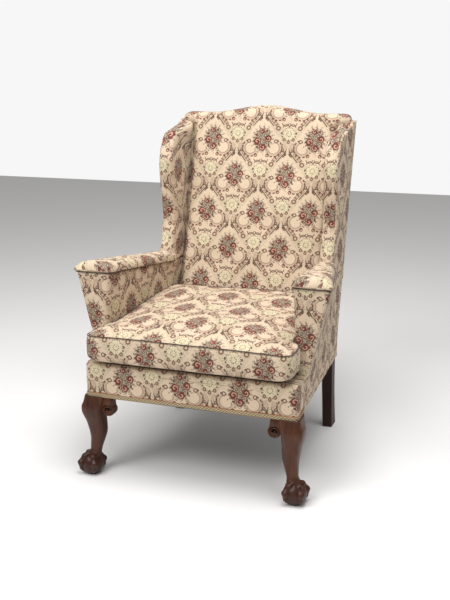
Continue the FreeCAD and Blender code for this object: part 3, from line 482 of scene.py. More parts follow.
def frameworkGroup():
    # the scrolls, strips, beads and cartouches round one medallion, mirrored left to right
    work = scrollwork
    tree, enter, leave = newGroup("scrollFramework", [], ["Line", "Pink", "Yellow", "Medallion", "Red"])
    x, y, z = split(tree, enter["At"])
    at = joined(tree, absolute(tree, x), y)

    # ground of the medallion: an oval cut by two slopes that meet in a point at the top
    oval = step(tree, spot(tree, at, *work["medallion"]), 1.03, 0.97)
    slopes = [step(tree, toward(tree, at, a, b), out, full) for a, b, out, full in work["slopes"]]
    # a bar for the V at the top; below the buds a pink husk strip with a dark edge and cross ticks
    vee, along, across = strip(tree, at, *work["vee"])
    husk, along, across = strip(tree, at, *work["husk"])
    edge = times(tree, husk, step(tree, absolute(tree, across), *work["huskEdge"]))
    ticks = times(tree, husk, beats(tree, along, *work["huskTicks"]))

    # C-scroll round the lower side, open towards the bouquet: a faint line, a pink fill and a chain of links
    scroll = spot(tree, at, *work["scroll"])
    away = moved(tree, at, *work["scroll"])
    closed = step(tree, toward(tree, away, *work["scrollOpening"]), *work["scrollEnds"])
    links = beats(tree, bearing(tree, away), *work["scrollLinks"])
    inner = times(tree, ring(tree, scroll, *work["scrollInner"]), closed, work["scrollInnerShare"])
    outer = times(tree, ring(tree, scroll, *work["scrollOuter"]), closed, links)
    fill = times(tree, ring(tree, scroll, *work["scrollFill"]), closed)

    # cartouche midway to the next medallion: a scalloped ring of dots with a small flower in it
    away = moved(tree, at, *work["cartouche"])
    radius, angle = vector(tree, "LENGTH", away), bearing(tree, away)
    count, depth = work["scallops"]
    scalloped = plus(tree, radius, times(tree, absolute(tree, sine(tree, times(tree, angle, count))), depth))
    dots = beats(tree, angle, *work["cartoucheDots"])
    dots = times(tree, ring(tree, scalloped, *work["cartoucheRing"]), dots)
    flower = times(tree, ring(tree, radius, *work["flowerRing"]), beats(tree, angle, *work["flowerPetals"]))

    # comma scrolls either side of the axis, pink with a dark outline on one half
    comma = spot(tree, at, *work["comma"])
    a, b, out, full = work["commaHalf"]
    half = step(tree, toward(tree, moved(tree, at, *work["comma"][:2]), a, b), out, full)
    outline = times(tree, ring(tree, comma, *work["commaLine"]), half)

    dark = [vee, edge, inner, outer, dots, flower, outline]
    for a, b, size, line, out, full in work["arches"]:
        dark.append(times(tree, ring(tree, spot(tree, at, a, b), size, line), step(tree, y, out, full)))
    red = [ticks]
    for found, rings, discs in ((dark, "darkRings", "darkDiscs"), (red, "redRings", "redDiscs")):
        found += [ring(tree, spot(tree, at, a, b), size, line) for a, b, size, line in work[rings]]
        found += [disc(tree, at, *place) for place in work[discs]]
    tree.links.new(most(tree, *dark), leave["Line"])
    tree.links.new(most(tree, *red), leave["Red"])
    tree.links.new(most(tree, husk, fill, step(tree, comma, *work["commaFill"])), leave["Pink"])
    tree.links.new(step(tree, scalloped, *work["cartoucheGround"]), leave["Yellow"])
    tree.links.new(times(tree, oval, *slopes), leave["Medallion"])
    return tree


# the bouquet, in units of the repeat's width: each rose has a place, a size and a turn
bouquet = {
    "squeeze": (1.12, 0.88, 0),
    "grain": (26.0, 3.0, 0.7),
    "spikes": 8.5,
    "spikeDepth": -0.065,
    "ragged": 0.34,
    "leafEdge": (0.100, 0.050),
    "veins": (44.0, 3.0, 0.7),
    "veinEdge": (0.40, 0.54),
    "veinShare": (0.75, 0.22),
    "roses": ((-0.012, 0.158, 0.052, 0.4), (-0.098, -0.040, 0.072, 2.2), (0.108, 0.018, 0.064, 4.1),
              (0.012, -0.148, 0.066, 5.3)),
    "lobes": (5.0, 0.10),
    "roseEdge": (1.08, 0.92),
    "spiral": 7.5,
    "petalEdge": (0.88, 0.70),
    "petalBand": (0.1, 0.75),
    "buds": ((0.085, 0.150), (-0.120, 0.085), (0.125, -0.105), (-0.095, -0.150)),
    "budSize": (0.018, 0.022, 0.3),
}


def bouquetGroup():
    # four roses and some buds over spiky leaves
    work = bouquet
    tree, enter, leave = newGroup("bouquet", [], ["Leaf", "Rose", "Petal"])
    at = enter["At"]
    radius = vector(tree, "LENGTH", vector(tree, "MULTIPLY", at, work["squeeze"]))
    # leaf reach: spikes at even angles and some noise
    spikes = absolute(tree, sine(tree, times(tree, bearing(tree, at), work["spikes"])))
    reach = blended(tree, spikes, work["spikeDepth"], noise(tree, at, *work["grain"]), work["ragged"])
    inside = step(tree, minus(tree, radius, reach), *work["leafEdge"])
    veins = step(tree, noise(tree, at, *work["veins"]), *work["veinEdge"])
    tree.links.new(times(tree, inside, shifted(tree, veins, *work["veinShare"])), leave["Leaf"])

    roses, petals = [], []
    count, depth = work["lobes"]
    for x, y, size, turn in work["roses"]:
        away = moved(tree, at, x, y)
        distance, angle = vector(tree, "LENGTH", away), bearing(tree, away)
        ripple = times(tree, sine(tree, shifted(tree, angle, count, turn)), size * depth)
        outline = plus(tree, distance, ripple)
        roses.append(step(tree, outline, *(size * share for share in work["roseEdge"])))
        # petals: a spiral band, the sine of distance plus angle
        band = sine(tree, plus(tree, times(tree, distance, work["spiral"] / size), plus(tree, angle, turn)))
        within = step(tree, outline, *(size * share for share in work["petalEdge"]))
        petals.append(times(tree, step(tree, band, *work["petalBand"]), within))
    roses += [disc(tree, at, x, y, *work["budSize"]) for x, y in work["buds"]]
    tree.links.new(most(tree, *roses), leave["Rose"])
    tree.links.new(most(tree, *petals), leave["Petal"])
    return tree


def threadGroup():
    # fine weave: two crossed sines at thread pitch, broken by noise; gives a height and a shade
    tree, enter, leave = newGroup("threads", ["Pitch"], ["Height", "Shade"])
    x, y, z = split(tree, enter["At"])
    turns = calc(tree, "DIVIDE", 2 * math.pi, enter["Pitch"])
    warp, weft = sine(tree, times(tree, x, turns)), sine(tree, times(tree, y, turns))
    height = shifted(tree, times(tree, warp, weft), 0.5, 0.5)
    slub = noise(tree, enter["At"], 420.0, 2.0, 0.6)
    tree.links.new(height, leave["Height"])
    tree.links.new(blended(tree, height, 0.45, slub, 0.55), leave["Shade"])
    return tree


def clothCoordinates(tree):
    node = tree.nodes.new("ShaderNodeUVMap")
    node.uv_map = "clothUv"
    return node.outputs["UV"]


def objectCoordinates(tree):
    return tree.nodes.new("ShaderNodeTexCoord").outputs["Object"]


def ramped(tree, value, stops):
    # a colour ramp from (place, colour) pairs
    node = tree.nodes.new("ShaderNodeValToRGB")
    feed(tree, value, node.inputs[0])
    marks = node.color_ramp.elements
    while len(marks) < len(stops):
        marks.new(0.5)
    for mark, (place, color) in zip(marks, stops):
        mark.position = place
        mark.color = (*color, 1)
    return node.outputs[0]


def bumped(tree, shader, height, strength, distance):
    bump = tree.nodes.new("ShaderNodeBump")
    setAll(bump, Strength=strength, Distance=distance)
    feed(tree, height, bump.inputs["Height"])
    tree.links.new(bump.outputs[0], shader.inputs["Normal"])


tapestry = {
    "ground": (0.565, 0.462, 0.325, 1),
    "medallion": (0.620, 0.485, 0.350, 1),
    "line": (0.100, 0.050, 0.034, 1),
    "pink": (0.440, 0.285, 0.205, 1),
    "yellow": (0.640, 0.560, 0.370, 1),
    "red": (0.150, 0.048, 0.032, 1),
    "leaf": (0.072, 0.056, 0.038, 1),
    "rose": (0.135, 0.040, 0.030, 1),
    "petal": (0.500, 0.285, 0.200, 1),
    "shares": {"yellow": 0.8, "pink": 0.50, "stitch": 0.42, "line": 0.95, "red": 0.85, "leaf": 0.92},
    "stitch": (330.0, 2.0, 0.6),
    "stitchEdge": (0.53, 0.62),
    "pitch": 0.0016,
    "bump": 0.3,
    "bumpDeep": 0.0012,
}


def tapestryMaterial(threads):
    # scrollwork on two lattices half a repeat apart, a bouquet in each medallion, stitches, thread and wear
    material = bpy.data.materials.new("tapestryCloth")
    tree, shader = newTree(material)
    framework, flowers = frameworkGroup(), bouquetGroup()
    at = clothCoordinates(tree)
    x, y, z = split(tree, vector(tree, "MULTIPLY", at, (1 / pattern["wide"], 1 / pattern["high"], 0)))
    tall = pattern["high"] / pattern["wide"]
    shares = tapestry["shares"]

    def lattice(offset):
        # place inside the repeat: fraction of the cloth coordinate, centred, in units of the repeat's width
        across, up = (minus(tree, calc(tree, "FRACT", plus(tree, value, offset)), 0.5) for value in (x, y))
        up = times(tree, up, tall)
        return across, up, joined(tree, across, up)

    across, up, placeA = lattice(0.5)
    placeB = lattice(0.0)[2]
    # the nearer bouquet: inside the diamond of the first lattice, or else the second
    diamond = blended(tree, absolute(tree, across), 2.0, absolute(tree, up), 2.0 / tall)
    chosen = tree.nodes.new("ShaderNodeMix")
    chosen.data_type = "VECTOR"
    feed(tree, calc(tree, "GREATER_THAN", diamond, 1.0), chosen.inputs[0])
    tree.links.new(placeA, chosen.inputs[4])
    tree.links.new(placeB, chosen.inputs[5])
    flowers = useGroup(tree, flowers, At=chosen.outputs[1])
    first, second = useGroup(tree, framework, At=placeA), useGroup(tree, framework, At=placeB)
    either = {label: most(tree, first[label], second[label]) for label in first.keys()}

    # small stitches: noise cut off into flecks, mostly between the medallions
    flecks = noise(tree, vector(tree, "MULTIPLY", at, (1.0, 0.8, 1)), *tapestry["stitch"])
    between = minus(tree, 1.0, times(tree, either["Medallion"], 0.80))
    stitch = times(tree, step(tree, flecks, *tapestry["stitchEdge"]), between)
    color = mixed(tree, either["Medallion"], tapestry["ground"], tapestry["medallion"])
    for share, key in (
            (times(tree, either["Yellow"], shares["yellow"]), "yellow"),
            (times(tree, either["Pink"], shares["pink"]), "pink"),
            (times(tree, stitch, shares["stitch"]), "line"),
            (times(tree, either["Line"], shares["line"]), "line"),
            (times(tree, either["Red"], shares["red"]), "red"),
            (times(tree, flowers["Leaf"], shares["leaf"]), "leaf"),
            (flowers["Rose"], "rose"),
            (flowers["Petal"], "petal")):
        color = mixed(tree, share, color, tapestry[key])

    weave = useGroup(tree, threads, At=at, Pitch=tapestry["pitch"])
    speck, wear = noise(tree, at, 230.0, 3.0, 0.7), noise(tree, at, 9.0, 3.0, 0.5)
    shade = times(tree, shifted(tree, weave["Shade"], 0.16, 0.90), shifted(tree, speck, 0.36, 0.82),
                  shifted(tree, wear, 0.12, 0.94))
    gray = tree.nodes.new("ShaderNodeCombineColor")
    for socket in gray.inputs[:3]:
        tree.links.new(shade, socket)
    tree.links.new(mixed(tree, 1.0, color, gray.outputs[0], "MULTIPLY"), shader.inputs["Base Color"])
    setAll(shader, Roughness=0.9, Sheen_Weight=0.08, Specular_IOR_Level=0.2)
    puckers = noise(tree, at, 34.0, 3.0, 0.6)
    raised = plus(tree, blended(tree, weave["Height"], 0.5, flowers["Rose"], 0.5), times(tree, puckers, 1.6))
    bumped(tree, shader, raised, tapestry["bump"], tapestry["bumpDeep"])
    return material


woods = {
    "showWood": {"stops": [(0.32, (0.028, 0.0080, 0.0032)), (0.52, (0.066, 0.020, 0.0070)),
                           (0.70, (0.135, 0.046, 0.015))], "rough": 0.28, "coat": 0.05, "fleck": 0.5},
    "darkWood": {"stops": [(0.3, (0.012, 0.0035, 0.0025)), (0.7, (0.040, 0.011, 0.007))],
                 "rough": 0.40, "coat": 0.0, "fleck": 0.5},
    "frameWood": {"stops": [(0.3, (0.38, 0.25, 0.13)), (0.7, (0.62, 0.46, 0.28))],
                  "rough": 0.62, "coat": 0.0, "fleck": 0.2},
    "drawn": (1, 1, 0.12),
    "pore": (0.012, 0.005, 0.004, 1),
    "foot": (0.030, 0.008, 0.005, 1),
    "footFrom": (0.085, 0.055),
}


def woodMaterial(name):
    # grain: noise drawn out along the height, with pores and flecks; the colour darkens towards the bottom,
    # over the carved feet
    material = bpy.data.materials.new(name)
    tree, shader = newTree(material)
    work = woods[name]
    at = objectCoordinates(tree)
    drawn = vector(tree, "MULTIPLY", at, woods["drawn"])
    grain, broad = noise(tree, drawn, 90.0, 5.0, 0.65), noise(tree, drawn, 14.0, 3.0, 0.5)
    color = ramped(tree, blended(tree, grain, 0.55, broad, 0.45), work["stops"])
    pores = step(tree, noise(tree, drawn, 420.0, 2.0, 0.6), 0.60, 0.72)
    flecks = step(tree, noise(tree, at, 75.0, 2.0, 0.6), 0.62, 0.74)
    color = mixed(tree, blended(tree, pores, 0.25, flecks, work["fleck"]), color, woods["pore"])
    x, y, z = split(tree, at)
    low = times(tree, step(tree, z, *woods["footFrom"]), 0.6)
    tree.links.new(mixed(tree, low, color, woods["foot"]), shader.inputs["Base Color"])
    tree.links.new(shifted(tree, broad, 0.2, work["rough"]), shader.inputs["Roughness"])
    setAll(shader, Coat_Weight=work["coat"], Coat_Roughness=0.22, Specular_IOR_Level=0.28)
    bumped(tree, shader, plus(tree, grain, times(tree, pores, -0.6)), 0.25, 0.0006)
    return material


# plain woven stuffs: dark and light colour, and the pitch of their threads
stuffs = {
    "juteWebbing": ((0.26, 0.17, 0.09), (0.55, 0.41, 0.24), 0.004),
    "hessianCloth": ((0.24, 0.17, 0.09), (0.50, 0.39, 0.23), 0.003),
    "cottonStuffing": ((0.55, 0.50, 0.42), (0.80, 0.76, 0.68), 0.006),
    "blackCambric": ((0.012, 0.012, 0.012), (0.045, 0.043, 0.042), 0.002),
    # the deck cloth's near-black browns are painted shade: they stand for the shadow in the gap under the
    # cushion's front
    "deckClothPaintedShade": ((0.030, 0.022, 0.017), (0.085, 0.065, 0.050), 0.0016),
    # the seam cord's dark browns are painted shadow: the shade in the seams under the arm pads and round the
    # cushion
    "seamPaintedShadow": ((0.022, 0.013, 0.009), (0.085, 0.052, 0.036), 0.0012),
}


def clothMaterial(name, threads):
    # the thread group gives shade and height, over object coordinates
    material = bpy.data.materials.new(name)
    tree, shader = newTree(material)
    dark, light, pitch = stuffs[name]
    at = objectCoordinates(tree)
    weave = useGroup(tree, threads, At=at, Pitch=pitch)
    tone = blended(tree, weave["Shade"], 0.6, noise(tree, at, 60.0, 3.0, 0.6), 0.4)
    tree.links.new(ramped(tree, tone, [(0.3, dark), (0.7, light)]), shader.inputs["Base Color"])
    setAll(shader, Roughness=0.92, Sheen_Weight=0.1)
    bumped(tree, shader, weave["Height"], 0.5, 0.001)
    return material


def steelMaterial():
    # one noise for colour, roughness and height
    material = bpy.data.materials.new("springSteel")
    tree, shader = newTree(material)
    tone = noise(tree, objectCoordinates(tree), 160.0, 4.0, 0.6)
    color = ramped(tree, tone, [(0.3, (0.16, 0.15, 0.14)), (0.7, (0.42, 0.41, 0.39))])
    tree.links.new(color, shader.inputs["Base Color"])
    setAll(shader, Metallic=0.95)
    tree.links.new(shifted(tree, tone, 0.25, 0.28), shader.inputs["Roughness"])
    bumped(tree, shader, tone, 0.2, 0.0004)
    return material


braid = {
    "edge": (0.36, 0.135, 0.055, 1),
    "olive": (0.23, 0.185, 0.085, 1),
    "cream": (0.60, 0.50, 0.30, 1),
    "dark": (0.085, 0.040, 0.028, 1),
    "checkLong": 0.0105,
    "checkHigh": 0.0072,
    "cordPitch": 0.0032,
    "middle": 0.007,
    "edgeFrom": (0.0050, 0.0056),
}


def braidMaterial():
    # u runs along the band, v from its lower edge: two cord edges with checks of three colours between
    material = bpy.data.materials.new("wovenBraid")
    tree, shader = newTree(material)
    u, v, z = split(tree, clothCoordinates(tree))

    def turns(value, pitch):
        return sine(tree, times(tree, value, 2 * math.pi / pitch))

    check = times(tree, turns(u, braid["checkLong"]), turns(v, braid["checkHigh"]))
    color = mixed(tree, step(tree, check, -0.1, 0.15), braid["olive"], braid["cream"])
    color = mixed(tree, step(tree, check, -0.45, -0.65), color, braid["dark"])
    edge = step(tree, absolute(tree, minus(tree, v, braid["middle"])), *braid["edgeFrom"])
    color = mixed(tree, edge, color, braid["edge"])
    cord = turns(plus(tree, u, v), braid["cordPitch"])
    # painted shade: the grooves between the cord's twists are darkened with the dark thread colour
    grooveShade = times(tree, minus(tree, 1.0, step(tree, cord, -1.2, 0.6)), 0.5)
    tree.links.new(mixed(tree, grooveShade, color, braid["dark"]), shader.inputs["Base Color"])
    setAll(shader, Roughness=0.85)
    bumped(tree, shader, plus(tree, times(tree, cord, 0.5), check), 0.6, 0.0008)
    return material


threads = threadGroup()
cloth = tapestryMaterial(threads)
wood, darkWood, frameWood = (woodMaterial(name) for name in ("showWood", "darkWood", "frameWood"))
steel = steelMaterial()
webbing, hessian, stuffing, blackCloth, deckClothPaintedShade, seamPaintedShadow = (
    clothMaterial(name, threads) for name in stuffs)
braidCloth = braidMaterial()
print("stage: materials built")


# Upholstery

def around(ring):
    # the ring's length so far at each point, closed by its full length
    return lengths(looped(ring))


def lengthFrom(ring, k):
    # length along the closed ring from its point k, growing towards positive x
    run = around(ring)
    return (run - run[k]) * (1 if ring[(k + 3) % len(ring), 0] > ring[k, 0] else -1)


def roundRing(corners, radii, count):
    # a closed line of straight sides with a parabola at each corner, evenly divided
    c = np.array(corners, float)
    toNext = np.roll(c, -1, 0) - c
    toNext /= np.linalg.norm(toNext, axis=1)[:, None]
    fromLast = np.roll(toNext, 1, 0)
    r = np.broadcast_to(np.array(radii, float), len(c))[:, None]
    t = np.linspace(0, 1, 9)[:, None, None]
    bends = (1 - t) ** 2 * (c - fromLast * r) + 2 * t * (1 - t) * c + t ** 2 * (c + toNext * r)
    line = bends.transpose(1, 0, 2).reshape(-1, c.shape[1])
    return evenly(looped(line), count + 1)[:-1]


back = {
    "half": 0.294,
    "stations": 110,
    "columns": 120,
    "low": 0.357,
    "nose": 0.022,
    "thick": 0.047,
    "rearLow": 0.964,
    "rear": 0.005,
    "dish": 0.014,
    "dishAt": 0.236,
    "tuckFrom": 0.226,
    "tuckTo": 0.252,
    "tuckDeep": 0.028,
    "tuckEnd": (0.972, 1.008),
    "endRound": 0.016,
    "endShare": 0.8,
    "noseLeast": 0.012,
    "rearRound": 0.013,
    "least": 0.044,
    "lumps": 0.0035,
    "corner": (0.262, 1.01),
    "cornerSize": (0.035, 0.022),
    "gather": 0.0016,
    "gatherTurns": 420,
    "rose": -0.165,
    "center": 0.612,
}


def insideBack():
    # a closed profile at each place across: front slope, quarter-ellipse nose, crest, rear edge and back down
    rows, uvs = [], []
    quarter = np.linspace(0, math.pi / 2, 12)[1:]
    lowRear = float(backY(back["rearLow"]))
    for across in np.linspace(-back["half"], back["half"], back["stations"]):
        end = float(ramp(back["half"] - back["endRound"], back["half"], abs(across)))
        shrink = end ** 2 * back["endRound"] * back["endShare"]
        top = float(crestZ(across)) - shrink
        noseZ = top - back["nose"]
        z = np.linspace(back["low"], noseZ, 60)
        front = np.stack([insideY(z) + back["dish"] * (across / back["dishAt"]) ** 2, z], 1)
        tuck = ramp(back["tuckFrom"], back["tuckTo"], abs(across)) * (1 - ramp(*back["tuckEnd"], z))
        front[:, 0] += back["tuckDeep"] * tuck + shrink
        startY = front[-1, 0]
        endY = max(float(backY(top)) - back["thick"], startY + back["noseLeast"])
        nose = np.stack([
            endY - (endY - startY) * np.cos(quarter), noseZ + back["nose"] * np.sin(quarter)], 1)
        rearY = float(backY(top)) - back["rear"] - shrink
        bend = back["rearRound"]
        rear = np.stack([rearY - bend * (1 - np.sin(quarter)), top - bend * (1 - np.cos(quarter))], 1)
        down = np.array([[lowRear - inset, back["rearLow"]] for inset in (back["rear"], back["thick"])])
        z = np.linspace(back["rearLow"] - 0.02, back["low"], 12)
        inner = np.stack([np.maximum(backY(z) - back["thick"], insideY(z) + back["least"]), z], 1)
        closed = looped(np.vstack([front, nose, rear, down, inner]))
        even = evenly(closed, back["columns"] + 1)
        s = np.linspace(0, lengths(closed)[-1], len(even))
        rows.append(np.column_stack([np.full(back["columns"], across), even[:-1]]))
        uvs.append(np.column_stack([np.full(len(s), across - back["rose"]), s - back["center"]]))
    points, uv = np.array(rows), np.array(uvs)
    soft = waves(points[..., 0], points[..., 2], 3, 22)
    facing = ramp(0.02, 0.0, points[..., 1] - insideY(points[..., 2]))
    points[..., 1] -= back["lumps"] * soft * facing
    # gathers at the top corners: ripples that fade away from the corner
    corner = bell(np.abs(points[..., 0]) - back["corner"][0], back["cornerSize"][0])
    corner = corner * bell(points[..., 2] - back["corner"][1], back["cornerSize"][1])
    points[..., 2] += back["gather"] * corner * np.sin(points[..., 0] * back["gatherTurns"])
    makePiece("insideBack", [surface(placed(points), uv)], cloth,
              replaced=("inside_back_pad", "crest_pad"))


wing = {
    "front": [(0.458, 0.5548), (0.493, 0.628), (0.511, 0.700), (0.504, 0.780), (0.498, 0.862),
              (0.510, 0.915), (0.545, 0.961), (0.600, 0.977), (0.660, 0.987), (0.706, 1.002)],
    "stations": 80,
    "inner": 0.245,
    "outer": 0.2890,
    "round": 0.0215,
    "blunt": 0.75,
    "flat": 26,
    "puff": 0.004,
    "lumps": 0.0018,
    "rearTop": 0.985,
    "rearIn": 0.050,
    "pattern": (0.568, 0.846),
    "arc": 0.080,
}
panel = {
    "rearIn": 0.002,
    "rearTop": 1.004,
    "inset": 0.006,
    "outer": 0.289,
    "inner": 0.281,
    "puff": 0.0035,
    "lowered": 0.055,
    "loweredTo": (0.55, 0.66),
    "edgeIn": 0.003,
    "edgeWide": 0.006,
}


def wingSlices(rearIn, rearTop, inset):
    # front and rear points of the wing's slices, from the arm to the top
    front = smoothRun(wing["front"], wing["stations"])
    z = np.linspace(wing["front"][0][1], rearTop, wing["stations"])
    rear = np.stack([backY(z) - rearIn, z], 1)
    along = rear - front
    along /= np.linalg.norm(along, axis=1)[:, None]
    return front + along * inset, rear


def wingPad(side, label):
    # each slice: inner face, half-round front edge, outer face, closed at the rear
    front, rear = wingSlices(wing["rearIn"], wing["rearTop"], 0.0)
    r = wing["round"]
    long = np.maximum(np.linalg.norm(rear - front, axis=1), r * 1.2)
    middle = (wing["inner"] + wing["outer"]) / 2
    half = (wing["outer"] - wing["inner"]) / 2
    flat = np.linspace(1, 0, wing["flat"])[:, None]
    turn = np.linspace(0, math.pi, 22)[1:-1, None]
    nose = r - r * np.sin(turn) ** wing["blunt"] + 0 * long
    reach = np.concatenate([r + flat * (long - r), nose, r + flat[::-1] * (long - r)])
    faces = [0 * flat - half, -half * bent(np.cos(turn), wing["blunt"]), 0 * flat + half]
    across = np.concatenate(faces) + 0 * long
    unit = (rear - front) / long[:, None]
    y = front[:, 0] + unit[:, 0] * reach
    z = front[:, 1] + unit[:, 1] * reach
    # the inner face swells and has slow lumps
    puff = wing["puff"] * np.sin(np.clip(reach / long, 0, 1) * math.pi)
    puff = puff - wing["lumps"] * waves(y, z, 5 + side, 40)
    x = middle + across + chair["lean"] * (z - chair["low"]) - puff * (across < 0)
    points = stack(x, y, z).transpose(1, 0, 2)
    run = np.array([around(ring) for ring in points])
    noseTip = wing["flat"] + 10
    u = side * (run[:, noseTip:noseTip + 1] - run - wing["arc"])
    v = looped(z).T - wing["pattern"][1]
    makePiece("wingPad" + label, [surface(placed(points, side), np.stack([u, v], -1))], cloth,
              replaced=("wing_pad_" + label.lower(),))


def wingPanel(side, label):
    # thin cover on the outside of the wing, its front edge set back as the seam
    front, rear = wingSlices(panel["rearIn"], panel["rearTop"], panel["inset"])
    share = np.linspace(0, 1, 40)[:, None]
    y = front[:, 0] + (rear[:, 0] - front[:, 0]) * share
    z = front[:, 1] + (rear[:, 1] - front[:, 1]) * share
    z = z - panel["lowered"] * (1 - ramp(*panel["loweredTo"], z))
    edge = np.minimum(share, 1 - share) * 0.3
    out = panel["outer"] + chair["lean"] * (z - chair["low"]) + panel["puff"] * np.sin(share * math.pi)
    out = out - panel["edgeIn"] * bell(edge, panel["edgeWide"])
    x = np.concatenate([out, np.full_like(out, panel["inner"])], 0)
    points = stack(x, np.concatenate([y, y[::-1]]), np.concatenate([z, z[::-1]])).transpose(1, 0, 2)
    uv = points[..., 1:] - np.array(wing["pattern"])
    uv = np.concatenate([uv, uv[:, :1]], 1)
    makePiece("wingCover" + label, [surface(placed(points, side), uv)], cloth,
              replaced=("outside_wing_cover_" + label.lower(),))


armBody = {
    "low": 0.246,
    "front": 0.086,
    "insideRear": 0.56,
    "bend": 0.50,
    "levelEnd": 0.52,
    "under": 0.004,
    "return": 0.012,
    "rounds": (0.006, 0.015, 0.015, 0.04, 0.004, 0.004),
    "levels": 70,
    "columns": 260,
    "left": {"center": 0.332, "height": 0.467},
    "right": {"center": 0.314, "height": 0.457},
    "puff": 0.003,
    "hollow": 0.004,
    "hollowFrom": 0.12,
    "hollowTo": 0.54,
    "insideLimit": 0.30,
    "lumps": 0.0010,
    "lumpsFrom": 0.11,
}


def armLevel(share, y):
    # height of a ring at y: a share of the way from the rail up to just under the arm's top
    return armBody["low"] + share * (float(armZ(y)) - armBody["under"] - armBody["low"])


def armCover(side, label):
    # level rings round the arm: inside face, rounded front, outside face back to the rear corner
    data = armBody[label.lower()]
    rows, uvs = [], []
    for share in np.linspace(0, 1, armBody["levels"]):
        corners = []
        for y, face in ((armBody["insideRear"], armInside), (armBody["front"], armInside),
                        (armBody["front"], armOutside), (armBody["bend"], armOutside)):
            z = armLevel(share, min(y, armBody["levelEnd"]))
            corners.append((float(face(y, z)), y, z))
        z = armLevel(share, armBody["insideRear"])
        rearY = float(backY(z)) - armBody["under"]
        rearX = float(armOutside(rearY, z))
        corners += [(rearX, rearY, z), (rearX - armBody["return"], rearY, z)]
        ring = roundRing(corners, armBody["rounds"], armBody["columns"])
        run = around(ring)
        k = int(np.argmin(ring[:, 1] + np.abs(ring[:, 0] - data["center"])))
        rows.append(ring)
        uvs.append(np.column_stack([(run[k] - run) * -side, looped(ring)[:, 2] - data["height"]]))
    points, uv = np.array(rows), np.array(uvs)
    shape = np.sin(np.linspace(0, 1, len(points)) * math.pi)[:, None]
    points[..., 1] -= armBody["puff"] * bell(points[..., 1] - armBody["front"], 0.01) * shape
    y = points[..., 1].copy()
    start, end = armBody["hollowFrom"], armBody["hollowTo"]
    inward = (y > start) & (points[..., 0] < armBody["insideLimit"]) & (y < end)
    arch = np.sin(np.clip((y - start) / (end - start), 0, 1) * math.pi)
    points[..., 0] -= armBody["hollow"] * shape * inward * arch
    points[..., 0] += armBody["lumps"] * waves(y, points[..., 2], 8 + side, 30) * (y > armBody["lumpsFrom"])
    makePiece("armCover" + label, [surface(placed(points, side), uv)], cloth, replaced=tuple(
        part + label.lower() for part in ("inside_arm_pad_", "arm_facing_", "outside_arm_cover_")))


armTop = {
    "start": 0.0815,
    "end": 0.503,
    "rise": 0.0285,
    "over": 0.0035,
    "front": 0.024,
    "stations": 90,
    "columns": 48,
    "wrinkle": 0.0011,
    "wide": 2 / 2.7,
    "tall": 2 / 2.5,
    "flatShare": 0.22,
    "ridge": 0.45,
    "seamRounds": (0.001, 0.014, 0.014, 0.001),
    "seamDown": 0.0022,
    "seam": 0.0016,
}


def armPad(side, label):
    # superellipse slices across the arm: flat below, round above, with a rounded front end
    y = armTop["start"] + (armTop["end"] - armTop["start"]) * np.linspace(0, 1, armTop["stations"]) ** 1.25
    near = np.clip(1 - (y - armTop["start"]) / armTop["front"], 0, 1)
    s = np.sqrt(1 - 0.985 * near ** 2)
    z0 = armZ(np.maximum(y, arm["front"]))
    x0 = armInside(y, z0) - armTop["over"]
    x1 = armOutside(y, z0) + armTop["over"]
    turn = circle(armTop["columns"])
    n = np.sin(turn)
    tall = np.where(n > 0, np.abs(n) ** armTop["tall"], -armTop["flatShare"] * np.abs(n) ** 0.6)
    half = ((x1 - x0) / 2 * (0.955 + 0.045 * s))[:, None]
    x = ((x0 + x1) / 2)[:, None] + half * bent(np.cos(turn), armTop["wide"])
    z = z0[:, None] + 0.001 + armTop["rise"] * s[:, None] * tall
    points = stack(x, y[:, None], z)
    px, py = points[..., 0], points[..., 1]
    ridges = np.sin(px * 260 + py * 150 + 3 * waves(px, py, 2, 40))
    wrinkles = waves(px, py, 11 + side, 70) + armTop["ridge"] * ridges
    points[..., 2] += armTop["wrinkle"] * np.clip(n, 0, 1) * wrinkles
    run = np.array([around(ring) for ring in points])
    uv = np.stack([run - 0.02, np.repeat(y[:, None], run.shape[1], 1) - 0.20], -1)
    # painted shadow under the pad's overhang: a dark cord along the arm's outline just under the pad
    start, end = armTop["start"] + 0.0015, armTop["end"]
    corners = []
    for along, face, out in ((end, armInside, -0.001), (start, armInside, -0.001),
                             (start, armOutside, 0.001), (end, armOutside, 0.001)):
        level = float(armZ(max(along, arm["front"])))
        corners.append((float(face(along, level)) + out, along, level - armTop["seamDown"]))
    ring = roundRing(corners, armTop["seamRounds"], 300)
    line = np.roll(ring, -int(np.argmin(ring[:, 0] - ring[:, 1])), 0)
    line = line[line[:, 1] < end - 0.003]
    makePiece("armSeamShadow" + label, [tube(placed(line, side), armTop["seam"])], seamPaintedShadow)
    makePiece("armPad" + label, [surface(placed(points, side), uv)], cloth,
              replaced=("arm_top_pad_" + label.lower(),))


cushion = {
    "low": 0.3568,
    "seam": 0.436,
    "crown": 0.041,
    "front": -0.0255,
    "earHalf": 0.3045,
    "earBack": 0.076,
    "bodyFront": 0.281,
    "bodyBack": 0.2545,
    "back": 0.468,
    "columns": 360,
    "bulge": 0.0045,
    "center": (0.0, 0.215),
    "border": (-0.288, 0.392),
    "lifted": 0.0085,
    "rearRise": 0.036,
    "top": (-0.008, 0.095),
    "topScale": 0.1195 / 0.1245,
    "rounds": (0.03, 0.010, 0.016, 0.032, 0.032, 0.016, 0.010, 0.03),
    "sag": 0.004,
    "edgeIn": 0.0045,
    "edgeWide": 0.05,
    "seamRadius": 0.0015,
}


def cushionOutline():
    # T shape seen from above: ears in front of the arms, body between them
    c = cushion
    right = [(c["earHalf"], c["front"]), (c["earHalf"], c["earBack"]), (c["bodyFront"], c["earBack"] + 0.006),
             (c["bodyBack"], c["back"])]
    corners = [(-x, y, 0) for x, y in right[::-1]] + [(x, y, 0) for x, y in right]
    return roundRing(corners, c["rounds"], c["columns"])


